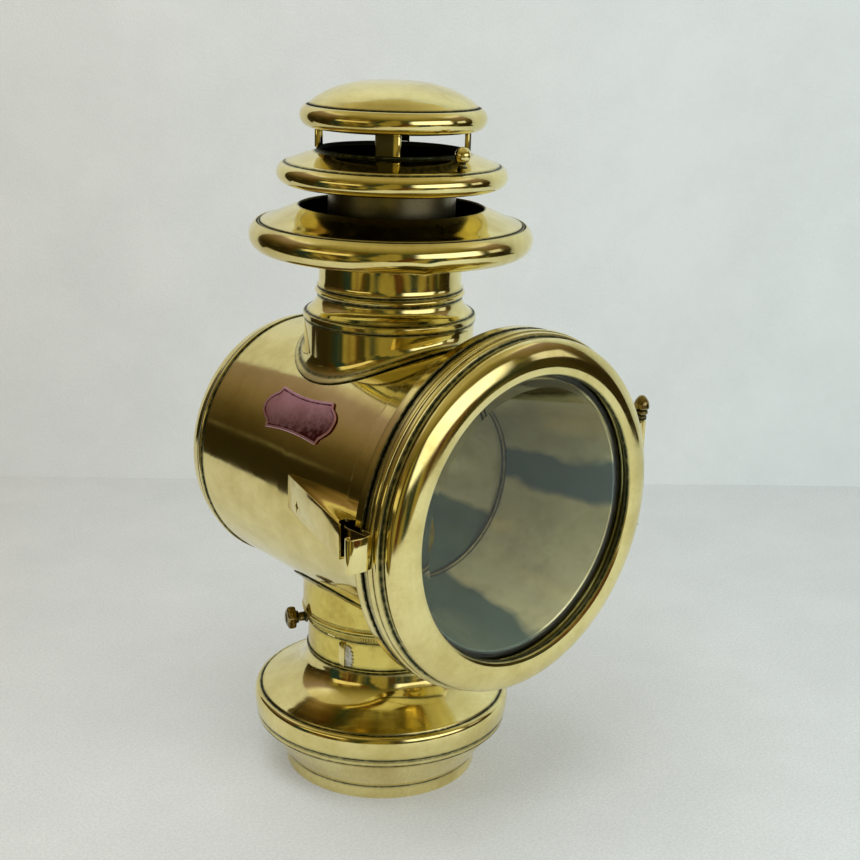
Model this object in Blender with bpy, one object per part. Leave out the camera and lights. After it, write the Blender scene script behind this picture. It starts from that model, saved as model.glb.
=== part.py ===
"""Brass oil lamp of the carriage and early motor kind, modelled piece by piece at its real size.

The flue's axis is +Z through the origin, which is the middle of the font's flat bottom, and
the glass faces -Y. Round pieces that lie along the drum are drawn as (radius, reach), where
reach is the distance from the flue's axis towards the glass. Lengths are in metres.
"""

from math import acos, asin, cos, pi, radians, sin, sqrt, tau

import bmesh
import bpy
from mathutils import Vector

# Gaps and sheet
GAP = 0.0003
SHEET = 0.001
PLATED_SHEET = 0.0008
STRIP = 0.0012
OVERRUN = 0.004
WELD = 0.000001

# Facets on a turn
DRUM_STEPS = 28
CANOPY_STEPS = 24
TUBE_STEPS = 18
SMALL_STEPS = 10
TINY_STEPS = 8
LOBE_STEPS = 4

# Heights of the stack
FONT_HEIGHT = 0.0678
NECK_SHOWING = 0.0207
LOWER_COLLAR_DROP = 0.0092
UPPER_COLLAR_RISE = 0.0089
NECK_HEIGHT = 0.0385
LOWER_CANOPY_RISE = 0.0194
MIDDLE_CANOPY_LIFT = 0.0107
MIDDLE_CANOPY_RISE = 0.0178
POST_HEIGHT = 0.0096
CAP_RISE = 0.0235

# Drum
DRUM_RADIUS = 0.0723
DRUM_REAR_TAPER = 0.0032
DRUM_FRONT_FLARE = 0.0009
DRUM_REAR_REACH = 0.072
DRUM_FRONT_SETBACK = 0.0256
REAR_BEAD = 0.0015
REAR_DOME_DEPTH = 0.016

# Front rim
RIM_STANDOUT = 0.019
RIM_CLEARANCE = 0.0386
RIM_FLARE_LENGTH = 0.0166
RIM_BAND = 0.0051
RIM_SLEEVE = 0.006
RIM_LIP = 0.0093

# Door and glass
DOOR_GAP = 0.0013
DOOR_FACE_WIDTH = 0.0194
DOOR_DEPTH = 0.0201
GLASS_COVER = 0.0037
GLASS_THICKNESS = 0.0036
GLASS_EDGE = 0.0016
GLASS_BEVEL = 0.0098
GLASS_SEAT = 0.0036
GLASS_RING_WIRE = 0.0012

# Collars on the drum
COLLAR_RADIUS = 0.044
COLLAR_FLANGE = 0.005
COLLAR_LIP = 0.0006
COLLAR_LIP_HEIGHT = 0.0036
FLUE_HOLE_RADIUS = 0.0405
FONT_HOLE_RADIUS = 0.0385

# Vent neck, canopies and cap
NECK_RIM_RADIUS = 0.0447
NECK_WAIST_RADIUS = 0.0368
PAN_RADIUS = 0.056
LOWER_CANOPY_RADIUS = 0.0726
LOWER_CANOPY_BEAD = 0.008
LOWER_CANOPY_HOLE = 0.0472
LOWER_CANOPY_LEDGE = 0.0503
MIDDLE_CANOPY_RADIUS = 0.0586
MIDDLE_CANOPY_BEAD = 0.0055
MIDDLE_CANOPY_HOLE = 0.0384
CAP_RADIUS = 0.0471
CAP_BEAD = 0.0058
CAP_HOLE = 0.033
CHIMNEY_RADIUS = 0.0325
CHIMNEY_DEPTH = 0.028
CHIMNEY_BEAD = 0.0012
POST_WIDTH = 0.0125
POST_FOLD = 0.003
POST_RADIUS = 0.0391
SPIDER_BAND = 0.006
SPIDER_ARM_WIDTH = 0.006
SPIDER_MARGIN = 0.001
BALL_RADIUS = 0.004
BALL_STEM_RADIUS = 0.0014
BALL_STEM_LENGTH = 0.002
BALL_PLACE_RADIUS = 0.0508

# Reflectors
CONE_FOOT_INSET = 0.0216
CONE_SMALL_REACH = 0.039
CONE_MOUTH_INSET = 0.0039
CONE_CLEARANCE = 0.003
CONE_EDGE = 0.0008
CARRIER_MARGIN = 0.0013
BOWL_RING_DEPTH = 0.0023
BOWL_RING_WIDTH = 0.0036
BOWL_DEPTH = 0.0631
BOWL_INSET = 0.0007
BURNER_HOLE_RADIUS = 0.026
BURNER_HOLE_DROP = 0.009
FLUE_CUT_RADIUS = 0.026
FLUE_CUT_RISE = 0.012

# Hinge
HINGE_OFFSET = 0.00845
HINGE_AHEAD = 0.00265
KNUCKLE_RADIUS = 0.003
HINGE_LENGTH = 0.058
DOOR_KNUCKLE_LENGTH = 0.0232
PIN_RADIUS = 0.0015
LEAF_THICKNESS = 0.0016
FINIAL_HEIGHT = 0.0138
FINIAL_RADIUS = 0.0042
PIN_HEAD_HEIGHT = 0.0014

# Latch
LATCH_HEIGHT = 0.0173
LATCH_CENTRE_RISE = 0.0037
LATCH_REAR_REACH = 0.009
LATCH_FRONT_SETBACK = 0.0076
LATCH_STANDOFF = 0.0067
LATCH_NOTCH_RADIUS = 0.0045
SPRING_THICKNESS = 0.0008
SPRING_MARGIN = 0.0023
SPRING_WIDTH = 0.013
SPRING_ROOT_REACH = 0.020
SPRING_BEND_SETBACK = 0.0536
CATCH_STANDOUT = 0.0119
CATCH_CURL_RADIUS = 0.0021
CATCH_FOOT_SETBACK = 0.0013
CATCH_PLATE_REACH = 0.0091

# Badge plate
BADGE_LENGTH = 0.0571
BADGE_MARGIN = 0.002
BADGE_REACH = 0.0019
BADGE_THICKNESS = 0.001
BADGE_HEIGHT_SHARE = 0.3209
BADGE_PLACE_SHARE = 0.6427

# Font
FOOT_RADIUS = 0.0528
FOOT_HEIGHT = 0.0077
FONT_RADIUS = 0.069
FONT_BEAD_STANDOUT = 0.0014
FONT_BEAD_HEIGHT = 0.0054
FONT_WALL_TOP = 0.036
FONT_WALL_BOTTOM = 0.0282
SHOULDER_TOP_RADIUS = 0.0412
NECK_BAND_RADIUS = 0.0411
NECK_BAND_RISE = 0.0079
KEY_WIDTH = 0.0034
KEY_HEIGHT = 0.0136
KEY_ANGLE = radians(198)

# Burner
BOSS_RADIUS = 0.0164
BOSS_DEPTH = 0.007
BURNER_FLANGE_RADIUS = 0.022
BURNER_FLANGE_HEIGHT = 0.0019
BURNER_RADIUS = 0.0165
BURNER_HEIGHT = 0.031
BURNER_TOP_HOLE = 0.0115
TUBE_WIDTH = 0.02
TUBE_THICKNESS = 0.005
TUBE_WALL = 0.0008
TUBE_HEIGHT = 0.098
TUBE_DIP = 0.009
TUBE_FLANGE_RADIUS = 0.021
SPREADER_RADIUS = 0.0203
SPREADER_HEIGHT = 0.058
SPREADER_SLOT_MARGIN = 0.0015
AIR_HOLE_RADIUS = 0.002
AIR_HOLES = 6
WICK_WIDTH = 0.0176
WICK_THICKNESS = 0.0024
WICK_STANDOUT = 0.003
WICK_LENGTH = 0.135

# Wick winder
WINDER_ANGLE = radians(155.4)
WINDER_DROP = 0.004
SPINDLE_RADIUS = 0.0016
SPINDLE_TAIL = 0.0065
WHEEL_RADIUS = 0.005
WHEEL_TEETH = 9
WHEEL_THICKNESS = 0.002
WHEEL_SPACING = 0.009
BUSH_LENGTH = 0.0044
KNOB_RADIUS = 0.0064
KNOB_LENGTH = 0.0072
KNOB_LOBES = 5

# Heights and places that follow from these
RIM_REACH = COLLAR_RADIUS + COLLAR_FLANGE + RIM_CLEARANCE
DRUM_FRONT_REACH = RIM_REACH - DRUM_FRONT_SETBACK
DRUM_REAR_RADIUS = DRUM_RADIUS - DRUM_REAR_TAPER
DRUM_FRONT_RADIUS = DRUM_RADIUS + DRUM_FRONT_FLARE
RIM_RADIUS = DRUM_RADIUS + RIM_STANDOUT
DOOR_RADIUS = RIM_RADIUS - GAP
OPENING_RADIUS = DOOR_RADIUS - DOOR_FACE_WIDTH
GLASS_RADIUS = OPENING_RADIUS + GLASS_COVER
COLLAR_FOOT_Z = FONT_HEIGHT + NECK_SHOWING
DRUM_AXIS_Z = COLLAR_FOOT_Z + LOWER_COLLAR_DROP + DRUM_RADIUS
COLLAR_TOP_Z = DRUM_AXIS_Z + DRUM_RADIUS + UPPER_COLLAR_RISE
NECK_FOOT_Z = COLLAR_TOP_Z + GAP
PAN_Z = NECK_FOOT_Z + NECK_HEIGHT
LOWER_LIP_Z = PAN_Z + LOWER_CANOPY_RISE
MIDDLE_FLOOR_Z = LOWER_LIP_Z + MIDDLE_CANOPY_LIFT
MIDDLE_LIP_Z = MIDDLE_FLOOR_Z + MIDDLE_CANOPY_RISE
CAP_FLOOR_Z = MIDDLE_LIP_Z + GAP + POST_HEIGHT + GAP
BURNER_FOOT_Z = FONT_HEIGHT + GAP
TUBE_FLANGE_Z = BURNER_FOOT_Z + BURNER_HEIGHT + GAP
TUBE_TOP_Z = FONT_HEIGHT - TUBE_DIP + TUBE_HEIGHT
WINDER_Z = COLLAR_FOOT_Z - WINDER_DROP
LATCH_Z = DRUM_AXIS_Z + LATCH_CENTRE_RISE
LATCH_FRONT_REACH = RIM_REACH - LATCH_FRONT_SETBACK
SPRING_BEND_REACH = RIM_REACH - SPRING_BEND_SETBACK
DOOR_REACH = RIM_REACH + DOOR_GAP
DOOR_FRONT_REACH = DOOR_REACH + DOOR_DEPTH
GLASS_REACH = DOOR_FRONT_REACH - GLASS_SEAT - GLASS_THICKNESS - GAP
CONE_SMALL_RADIUS = DRUM_RADIUS - CONE_FOOT_INSET
CONE_FRONT_RADIUS = OPENING_RADIUS - CONE_MOUTH_INSET
CONE_FRONT_REACH = GLASS_REACH - CONE_CLEARANCE
BOWL_RADIUS = CONE_SMALL_RADIUS - BOWL_INSET
FONT_BEAD_RADIUS = FONT_RADIUS + FONT_BEAD_STANDOUT
HINGE_X = RIM_RADIUS + HINGE_OFFSET
HINGE_REACH = RIM_REACH + HINGE_AHEAD
WHEEL_OFFSET = WICK_THICKNESS / 2 + GAP + WHEEL_RADIUS
COLLAR_BORE = COLLAR_RADIUS - SHEET
SPINDLE_END = NECK_BAND_RADIUS + GAP + BUSH_LENGTH
BUSH_RADIUS = WINDER_DROP - GAP * 2
BADGE_HEIGHT = DRUM_RADIUS * BADGE_HEIGHT_SHARE
LATCH_TOP_ANGLE = asin((LATCH_CENTRE_RISE + LATCH_HEIGHT / 2 + BADGE_MARGIN) / DRUM_RADIUS)
COLLAR_EDGE_ANGLE = acos((COLLAR_RADIUS + COLLAR_FLANGE + BADGE_MARGIN) / DRUM_RADIUS)
BADGE_ANGLE = LATCH_TOP_ANGLE + (COLLAR_EDGE_ANGLE - LATCH_TOP_ANGLE) * BADGE_PLACE_SHARE

# Outlines as shares. The first of each pair runs across, the second along.
FLARE_SHARES = ((0.0, 0.0), (0.1, 0.3), (0.4, 0.62), (0.78, 0.88), (1.0, 1.0))
REAR_DOME_SHARES = (
    (0.994, 0.23), (0.978, 0.45), (0.949, 0.64), (0.89, 0.79), (0.75, 0.91), (0.43, 0.975), (0.0, 1.0),
)
CAP_DOME_SHARES = ((0.0, 1.0), (0.24, 0.973), (0.48, 0.88), (0.7, 0.648), (0.88, 0.336), (0.97, 0.1))
DOOR_OUTER_SHARES = (
    (1.0, 0.0), (1.0, 0.124), (0.959, 0.149), (1.026, 0.22), (0.943, 0.299), (0.974, 0.375),
    (0.881, 0.463), (0.861, 0.53), (0.799, 0.562), (0.856, 0.66), (0.789, 0.821), (0.639, 0.905),
    (0.433, 0.975), (0.227, 1.0), (0.07, 0.98), (0.0, 0.91),
)
DOOR_INNER_SHARES = ((0.433, 0.91), (0.7, 0.78), (0.74, 0.58), (0.887, 0.353), (0.938, 0.0))
DOOR_BEAD_SHARE = 1.026
NECK_SHARES = (
    (1.0, 0.0), (1.0, 0.104), (0.405, 0.169), (0.152, 0.247), (0.076, 0.299), (0.228, 0.377),
    (0.05, 0.455), (0.0, 0.53), (0.0, 0.74),
)
NECK_INNER_SHARES = ((0.405, 0.169), (0.05, 0.3), (0.0, 0.74))
PAN_SHARES = ((0.06, 0.84), (0.17, 0.93), (0.32, 0.974))
SHOULDER_SHARES = (
    (0.0, 1.0), (0.014, 0.926), (0.082, 0.824), (0.226, 0.68), (0.53, 0.404), (0.838, 0.148),
    (0.95, 0.056), (0.985, 0.0),
)
BOWL_SHARES = (0.0, 0.25, 0.55, 0.82, 0.96, 1.0)
COLLAR_FILLET_SHARES = ((1.0, 0.1), (0.5, 0.13), (0.2, 0.27), (0.04, 0.5), (0.0, 0.78))
SPREADER_SHARES = ((1.0, 0.0), (1.0, 0.66), (0.92, 0.83), (0.6, 0.96), (0.0, 1.0))
FINIAL_SHARES = (
    (0.36, 0.03), (0.72, 0.05), (0.72, 0.19), (0.5, 0.23), (0.86, 0.27), (0.86, 0.4), (0.55, 0.44),
    (1.0, 0.5), (0.98, 0.62), (0.83, 0.81), (0.45, 0.95), (0.0, 1.0),
)
PIN_HEAD_SHARES = ((0.0, 1.0), (0.6, 0.85), (0.95, 0.4), (0.95, 0.0))
BADGE_SHARES = (
    (-0.36, -0.5), (-0.2, -0.45), (0.0, -0.43), (0.2, -0.45), (0.38, -0.5), (0.4, -0.3), (0.5, 0.1),
    (0.44, 0.3), (0.36, 0.5), (0.18, 0.42), (0.0, 0.4), (-0.18, 0.42), (-0.36, 0.5), (-0.4, 0.3),
    (-0.5, 0.0), (-0.4, -0.3),
)
KNOB_SHARES = ((0.5, 0.0), (0.55, 0.18), (0.92, 0.26), (1.0, 0.55), (0.85, 0.85), (0.3, 1.0))
CHIMNEY_TOP_SHARE = 0.4
COLLAR_SKIRT_SHARE = 0.8
WHEEL_ROOT_SHARE = 0.74
KNOB_LOBE_SHARE = 0.09
DOOR_POCKET_SHARE = 0.52
FONT_TAPER_SHARES = ((0.95, 0.03), (0.78, 0.16), (0.58, 0.38), (0.35, 0.64), (0.16, 0.86), (0.04, 1.0))


def clear_scene():
    for obj in list(bpy.data.objects):
        bpy.data.objects.remove(obj)


def make_material(name, colour, metallic, roughness):
    made = bpy.data.materials.new(name)
    made.use_nodes = True
    shader = made.node_tree.nodes["Principled BSDF"]
    shader.inputs["Base Color"].default_value = (*colour, 1)
    shader.inputs["Metallic"].default_value = metallic
    shader.inputs["Roughness"].default_value = roughness
    made.diffuse_color = (*colour, 1)
    return made


def make_empty(name, location, parent=None, rotation=(0, 0, 0)):
    empty = bpy.data.objects.new(name, None)
    bpy.context.scene.collection.objects.link(empty)
    empty.location = location
    empty.rotation_euler = rotation
    empty.parent = parent
    return empty


def make_object(name, bm, material, parent=None, location=(0, 0, 0)):
    bmesh.ops.remove_doubles(bm, verts=bm.verts, dist=WELD)
    bmesh.ops.recalc_face_normals(bm, faces=bm.faces)
    mesh = bpy.data.meshes.new(name)
    bm.to_mesh(mesh)
    bm.free()
    mesh.materials.append(material)
    mesh.shade_smooth()
    mesh.set_sharp_from_angle(angle=radians(35))
    obj = bpy.data.objects.new(name, mesh)
    bpy.context.scene.collection.objects.link(obj)
    obj.parent = parent
    obj.location = location
    return obj


def combine(obj, other, operation):
    other.hide_render = True
    other.display_type = "WIRE"
    modifier = obj.modifiers.new(operation.lower(), "BOOLEAN")
    modifier.operation = operation
    modifier.object = other
    modifier.solver = "EXACT"


def arc(centre, radius, start, end, count):
    """Points of an arc in the (radius, height) plane, between angles in degrees from the outward direction."""
    angles = [radians(start + (end - start) * i / (count - 1)) for i in range(count)]
    return [(centre[0] + radius * cos(a), centre[1] + radius * sin(a)) for a in angles]


def between(shares, across, along):
    """Outline points from shares, each of a span (low, high)."""
    return [
        (across[0] + (across[1] - across[0]) * a, along[0] + (along[1] - along[0]) * b)
        for a, b in shares
    ]


def lathe_mesh(outline, steps):
    """Turns an outline of (radius, height) about Z. It closes itself unless it starts and ends on the axis."""
    bm = bmesh.new()
    points = [bm.verts.new((radius, 0, height)) for radius, height in outline]
    edges = [bm.edges.new(pair) for pair in zip(points, points[1:])]
    if outline[0][0] > 0 or outline[-1][0] > 0:
        edges.append(bm.edges.new((points[-1], points[0])))
    parts = points + edges
    bmesh.ops.spin(bm, geom=parts, cent=(0, 0, 0), axis=(0, 0, 1), angle=tau, steps=steps)
    return bm


def lathe(name, outline, material, steps, parent=None, location=(0, 0, 0)):
    return make_object(name, lathe_mesh(outline, steps), material, parent, location)


def loft_mesh(rings, closed=False):
    """Joins rings of equally many points. A closed loft runs on from the last ring to the first."""
    bm = bmesh.new()
    loops = [[bm.verts.new(point) for point in ring] for ring in rings]
    pairs = list(zip(loops, loops[1:]))
    if closed:
        pairs.append((loops[-1], loops[0]))
    else:
        bm.faces.new(loops[0])
        bm.faces.new(loops[-1])
    count = len(loops[0])
    for low, high in pairs:
        for i in range(count):
            after = (i + 1) % count
            bm.faces.new((low[i], low[after], high[after], high[i]))
    return bm


def ring_points(radii, height):
    """A ring about Z through as many radii as it has points."""
    angles = [tau * i / len(radii) for i in range(len(radii))]
    return [(r * cos(a), r * sin(a), height) for r, a in zip(radii, angles)]


def box_mesh(low, high):
    bm = bmesh.new()
    bmesh.ops.create_cube(bm, size=1)
    bmesh.ops.scale(bm, vec=Vector(high) - Vector(low), verts=bm.verts)
    bmesh.ops.translate(bm, vec=(Vector(high) + Vector(low)) / 2, verts=bm.verts)
    return bm


def box(name, low, high, material, parent=None, location=(0, 0, 0)):
    return make_object(name, box_mesh(low, high), material, parent, location)


def prism(name, outline, low, high, material, parent=None, location=(0, 0, 0)):
    """A plan outline of (x, y) raised from low to high."""
    bm = bmesh.new()
    base = bm.faces.new([bm.verts.new((x, y, low)) for x, y in outline])
    raised = bmesh.ops.extrude_face_region(bm, geom=[base])["geom"]
    tops = [item for item in raised if isinstance(item, bmesh.types.BMVert)]
    bmesh.ops.translate(bm, vec=(0, 0, high - low), verts=tops)
    return make_object(name, bm, material, parent, location)


def strap_outline(path, thickness):
    """The outline of a strip of even thickness whose middle follows the plan path."""
    points = [Vector(point) for point in path]
    legs = [(after - point).normalized() for point, after in zip(points, points[1:])]
    left, right = [], []
    for point, first, second in zip(points, [legs[0], *legs], [*legs, legs[-1]]):
        along = (first + second).normalized()
        across = Vector((-along.y, along.x))
        reach = thickness / 2 / along.dot(first)
        left.append(point + across * reach)
        right.append(point - across * reach)
    return left + right[::-1]


def drum_radius_at(reach):
    """The drum's outer radius at this reach, along its slight taper."""
    if reach < 0:
        return DRUM_RADIUS + (DRUM_RADIUS - DRUM_REAR_RADIUS) * reach / DRUM_REAR_REACH
    return DRUM_RADIUS + (DRUM_FRONT_RADIUS - DRUM_RADIUS) * reach / DRUM_FRONT_REACH


def rim_outline(offset):
    """The front rim's outer side from its sleeve to its front edge, grown by the offset."""
    foot = DRUM_FRONT_RADIUS + GAP + SHEET + offset
    start = RIM_REACH - RIM_BAND - RIM_FLARE_LENGTH - offset
    sleeve = (foot, DRUM_FRONT_REACH - RIM_SLEEVE - offset)
    flare = between(FLARE_SHARES, (foot, RIM_RADIUS + offset), (start, start + RIM_FLARE_LENGTH))
    return [sleeve, *flare, (RIM_RADIUS + offset, RIM_REACH + offset)]


def envelope(name, offset, material, parent):
    """The drum and its front rim as one solid grown by the offset, for fitting what lies on them."""
    rear = (DRUM_REAR_RADIUS + offset, -DRUM_REAR_REACH)
    rim = rim_outline(offset)
    front = (drum_radius_at(rim[0][1]) + offset, rim[0][1])
    outline = [(0, rear[1]), rear, (DRUM_RADIUS + offset, 0), front, *rim, (0, rim[-1][1])]
    return lathe(name, outline, material, DRUM_STEPS, parent)


def column(name, radius, low, high, material, parent=None, location=(0, 0, 0), steps=TUBE_STEPS):
    """A plain upright cylinder."""
    outline = [(0, low), (radius, low), (radius, high), (0, high)]
    return lathe(name, outline, material, steps, parent, location)


def build_drum(brass, frame):
    outer = [
        (DRUM_REAR_RADIUS, -DRUM_REAR_REACH), (DRUM_RADIUS, 0), (DRUM_FRONT_RADIUS, DRUM_FRONT_REACH)
    ]
    inner = [(radius - SHEET, reach) for radius, reach in outer]
    drum = lathe("drum_shell", outer + inner[::-1], brass, DRUM_STEPS, frame)
    top = DRUM_AXIS_Z + DRUM_RADIUS + OVERRUN
    bottom = DRUM_AXIS_Z - DRUM_RADIUS - OVERRUN
    flue = column("flue_hole", FLUE_HOLE_RADIUS, DRUM_AXIS_Z, top, brass)
    font = column("font_hole", FONT_HOLE_RADIUS, bottom, DRUM_AXIS_Z, brass)
    combine(drum, flue, "DIFFERENCE")
    combine(drum, font, "DIFFERENCE")


def build_rear_cover(brass, frame):
    """The bead stands against the drum's rear edge, and the dome turns in behind it."""
    reach = -DRUM_REAR_REACH - GAP - REAR_BEAD
    bead = arc((DRUM_REAR_RADIUS - REAR_BEAD / 2, reach), REAR_BEAD, 90, -60, 4)
    edge = bead[-1]
    outer = between(REAR_DOME_SHARES, (0, edge[0]), (edge[1], edge[1] - REAR_DOME_DEPTH))
    inner = [(radius - SHEET, reach + SHEET) for radius, reach in outer[:-1]]
    inner.append((0, outer[-1][1] + SHEET))
    spigot = DRUM_REAR_RADIUS - SHEET - GAP
    ledge = [(spigot - SHEET, inner[0][1]), (spigot - SHEET, OVERRUN - DRUM_REAR_REACH)]
    ledge += [(spigot, OVERRUN - DRUM_REAR_REACH), (spigot, bead[0][1])]
    lathe("rear_cover", [*inner[::-1], *ledge, *bead, *outer], brass, DRUM_STEPS, frame)


def build_front_rim(brass, frame):
    outer = rim_outline(0)
    inner_radius = RIM_RADIUS - STRIP
    lip_radius = RIM_RADIUS - RIM_LIP
    inner = rim_outline(-STRIP)[2:-2]
    loop = [*outer, (lip_radius, RIM_REACH), (lip_radius, RIM_REACH - STRIP)]
    loop += [(inner_radius, RIM_REACH - STRIP), (inner_radius, outer[-2][1])]
    loop += inner[::-1]
    loop += [(outer[0][0] - SHEET, outer[1][1]), (outer[0][0] - SHEET, outer[0][1])]
    lathe("front_rim", loop, brass, DRUM_STEPS, frame)


def build_reflectors(silver, brass, frame):
    slope = (CONE_FRONT_RADIUS - CONE_SMALL_RADIUS) / (CONE_FRONT_REACH - CONE_SMALL_REACH)
    edge = (CONE_FRONT_RADIUS + CONE_EDGE, CONE_FRONT_REACH)
    cone = [(CONE_SMALL_RADIUS, CONE_SMALL_REACH), *arc(edge, CONE_EDGE, 180, 0, 4)]
    cone += [(edge[0] + CONE_EDGE, CONE_FRONT_REACH - CONE_EDGE)]
    cone += [(CONE_FRONT_RADIUS + PLATED_SHEET - slope * CONE_EDGE * 2, CONE_FRONT_REACH - CONE_EDGE * 2)]
    cone += [(CONE_SMALL_RADIUS + PLATED_SHEET, CONE_SMALL_REACH)]
    lathe("reflector_cone", cone, silver, DRUM_STEPS, frame)

    back = RIM_REACH + GAP
    bore = CONE_SMALL_RADIUS + PLATED_SHEET + GAP + slope * (back + SHEET - CONE_SMALL_REACH)
    rim = DOOR_RADIUS - STRIP - CARRIER_MARGIN
    carrier = [(bore, back), (rim, back), (rim, back + SHEET), (bore, back + SHEET)]
    lathe("reflector_carrier", carrier, brass, DRUM_STEPS, frame)

    ring_front = CONE_SMALL_REACH - GAP
    ring_back = ring_front - BOWL_RING_DEPTH
    inside = CONE_SMALL_RADIUS - BOWL_RING_DEPTH / 2
    bead = BOWL_RING_DEPTH / 4
    ring = [*arc((inside, ring_front - bead), bead, 90, 270, 3)]
    ring += [*arc((inside, ring_back + bead), bead, 90, 270, 3)[1:]]
    outside = inside + BOWL_RING_WIDTH
    ring += [(outside, ring_back), (outside, ring_front)]
    lathe("bowl_ring", ring, brass, TUBE_STEPS, frame)

    mouth = ring_back - GAP
    inner = [(BOWL_RADIUS * sqrt(1 - share), mouth - BOWL_DEPTH * share) for share in BOWL_SHARES]
    skin = BOWL_RADIUS + PLATED_SHEET
    deep = BOWL_DEPTH + PLATED_SHEET
    outer = [(skin * sqrt(1 - share), mouth - deep * share) for share in BOWL_SHARES[1:]]
    flange = [(outside, mouth), (outside, mouth - PLATED_SHEET), (skin, mouth - PLATED_SHEET)]
    bowl = lathe("reflector_bowl", [*inner[::-1], *flange, *outer], silver, TUBE_STEPS, frame)
    cut_top = DRUM_AXIS_Z - BURNER_HOLE_DROP
    low = DRUM_AXIS_Z - BOWL_RADIUS - OVERRUN
    high = DRUM_AXIS_Z + BOWL_RADIUS + OVERRUN
    burner = column("bowl_burner_cut", BURNER_HOLE_RADIUS, low, cut_top, silver)
    flue = column("bowl_flue_cut", FLUE_CUT_RADIUS, DRUM_AXIS_Z + FLUE_CUT_RISE, high, silver)
    combine(bowl, burner, "DIFFERENCE")
    combine(bowl, flue, "DIFFERENCE")


def saddle_ring(radius, rise, side):
    """Points round a collar at this height over the drum's skin, on its upper (1) or lower (-1) side."""
    points = []
    for i in range(DRUM_STEPS):
        x = radius * cos(tau * i / DRUM_STEPS)
        y = radius * sin(tau * i / DRUM_STEPS)
        skin = sqrt(drum_radius_at(-y) ** 2 - x * x)
        points.append((x, y, DRUM_AXIS_Z + side * (skin + rise)))
    return points


def build_collar(name, side, reach, end, lip, brass):
    """A tube standing on the drum with a filleted saddle flange. reach is its least length."""
    flange = COLLAR_RADIUS + COLLAR_FLANGE
    rings = [saddle_ring(flange, GAP, side)]
    for across, along in COLLAR_FILLET_SHARES:
        radius = COLLAR_RADIUS + COLLAR_FLANGE * across
        rings.append(saddle_ring(radius, GAP + (reach - GAP) * along, side))
    for radius, height in lip:
        rings.append(ring_points([radius] * DRUM_STEPS, height))
    rings.append(ring_points([COLLAR_RADIUS] * DRUM_STEPS, end))
    rings.append(ring_points([COLLAR_BORE] * DRUM_STEPS, end))
    rings.append(saddle_ring(COLLAR_BORE, GAP, side))
    make_object(name, loft_mesh(rings, closed=True), brass)


def build_collars(brass):
    build_collar("upper_collar", 1, UPPER_COLLAR_RISE, COLLAR_TOP_Z, [], brass)
    lip_z = COLLAR_FOOT_Z + COLLAR_LIP_HEIGHT * 2 / 3
    bead = ((0, COLLAR_LIP), (COLLAR_LIP, 0), (0, -COLLAR_LIP))
    lip = [(COLLAR_RADIUS + across, lip_z + along) for across, along in bead]
    build_collar("lower_collar", -1, LOWER_COLLAR_DROP / 2, COLLAR_FOOT_Z, lip, brass)


def build_neck(brass):
    rim = (NECK_WAIST_RADIUS, NECK_RIM_RADIUS)
    pan = (NECK_WAIST_RADIUS, PAN_RADIUS)
    height = (NECK_FOOT_Z, PAN_Z)
    outer = between(NECK_SHARES, rim, height) + between(PAN_SHARES, pan, height)
    outer += [(PAN_RADIUS, PAN_Z - SHEET), (PAN_RADIUS, PAN_Z)]
    inner = [(radius - SHEET, z) for radius, z in between(NECK_INNER_SHARES, rim, height)]
    inner += [(radius - SHEET, z + SHEET / 2) for radius, z in between(PAN_SHARES[:-1], pan, height)]
    inner += [(radius, PAN_Z) for radius, z in between(PAN_SHARES[-1:], pan, height)]
    skirt = COLLAR_BORE - GAP
    foot = NECK_FOOT_Z - UPPER_COLLAR_RISE * COLLAR_SKIRT_SHARE
    hem = [(skirt - SHEET, outer[1][1]), (skirt - SHEET, foot), (skirt, foot), (skirt, NECK_FOOT_Z)]
    lathe("vent_neck", [*outer, *inner[::-1], *hem], brass, CANOPY_STEPS)


def canopy_groove(radius, bead, centre_z):
    """Where a canopy's cone meets its rolled edge."""
    return arc((radius - bead, centre_z), bead, 65, 65, 2)[0]


def canopy_outline(top, under, bead_centre, bead, floor_angle, ledge):
    """A sheet canopy: its upper side, its rolled edge and the ledge under it, then back inside."""
    rolled = arc(bead_centre, bead, 65, 0, 3) + arc(bead_centre, bead, 0, floor_angle, 4)[1:]
    inside = arc(bead_centre, bead - SHEET, floor_angle, 60, 4)
    floor = rolled[-1][1]
    return [*top, *rolled, (ledge, floor), (ledge, floor + SHEET), *inside, *under]


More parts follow.
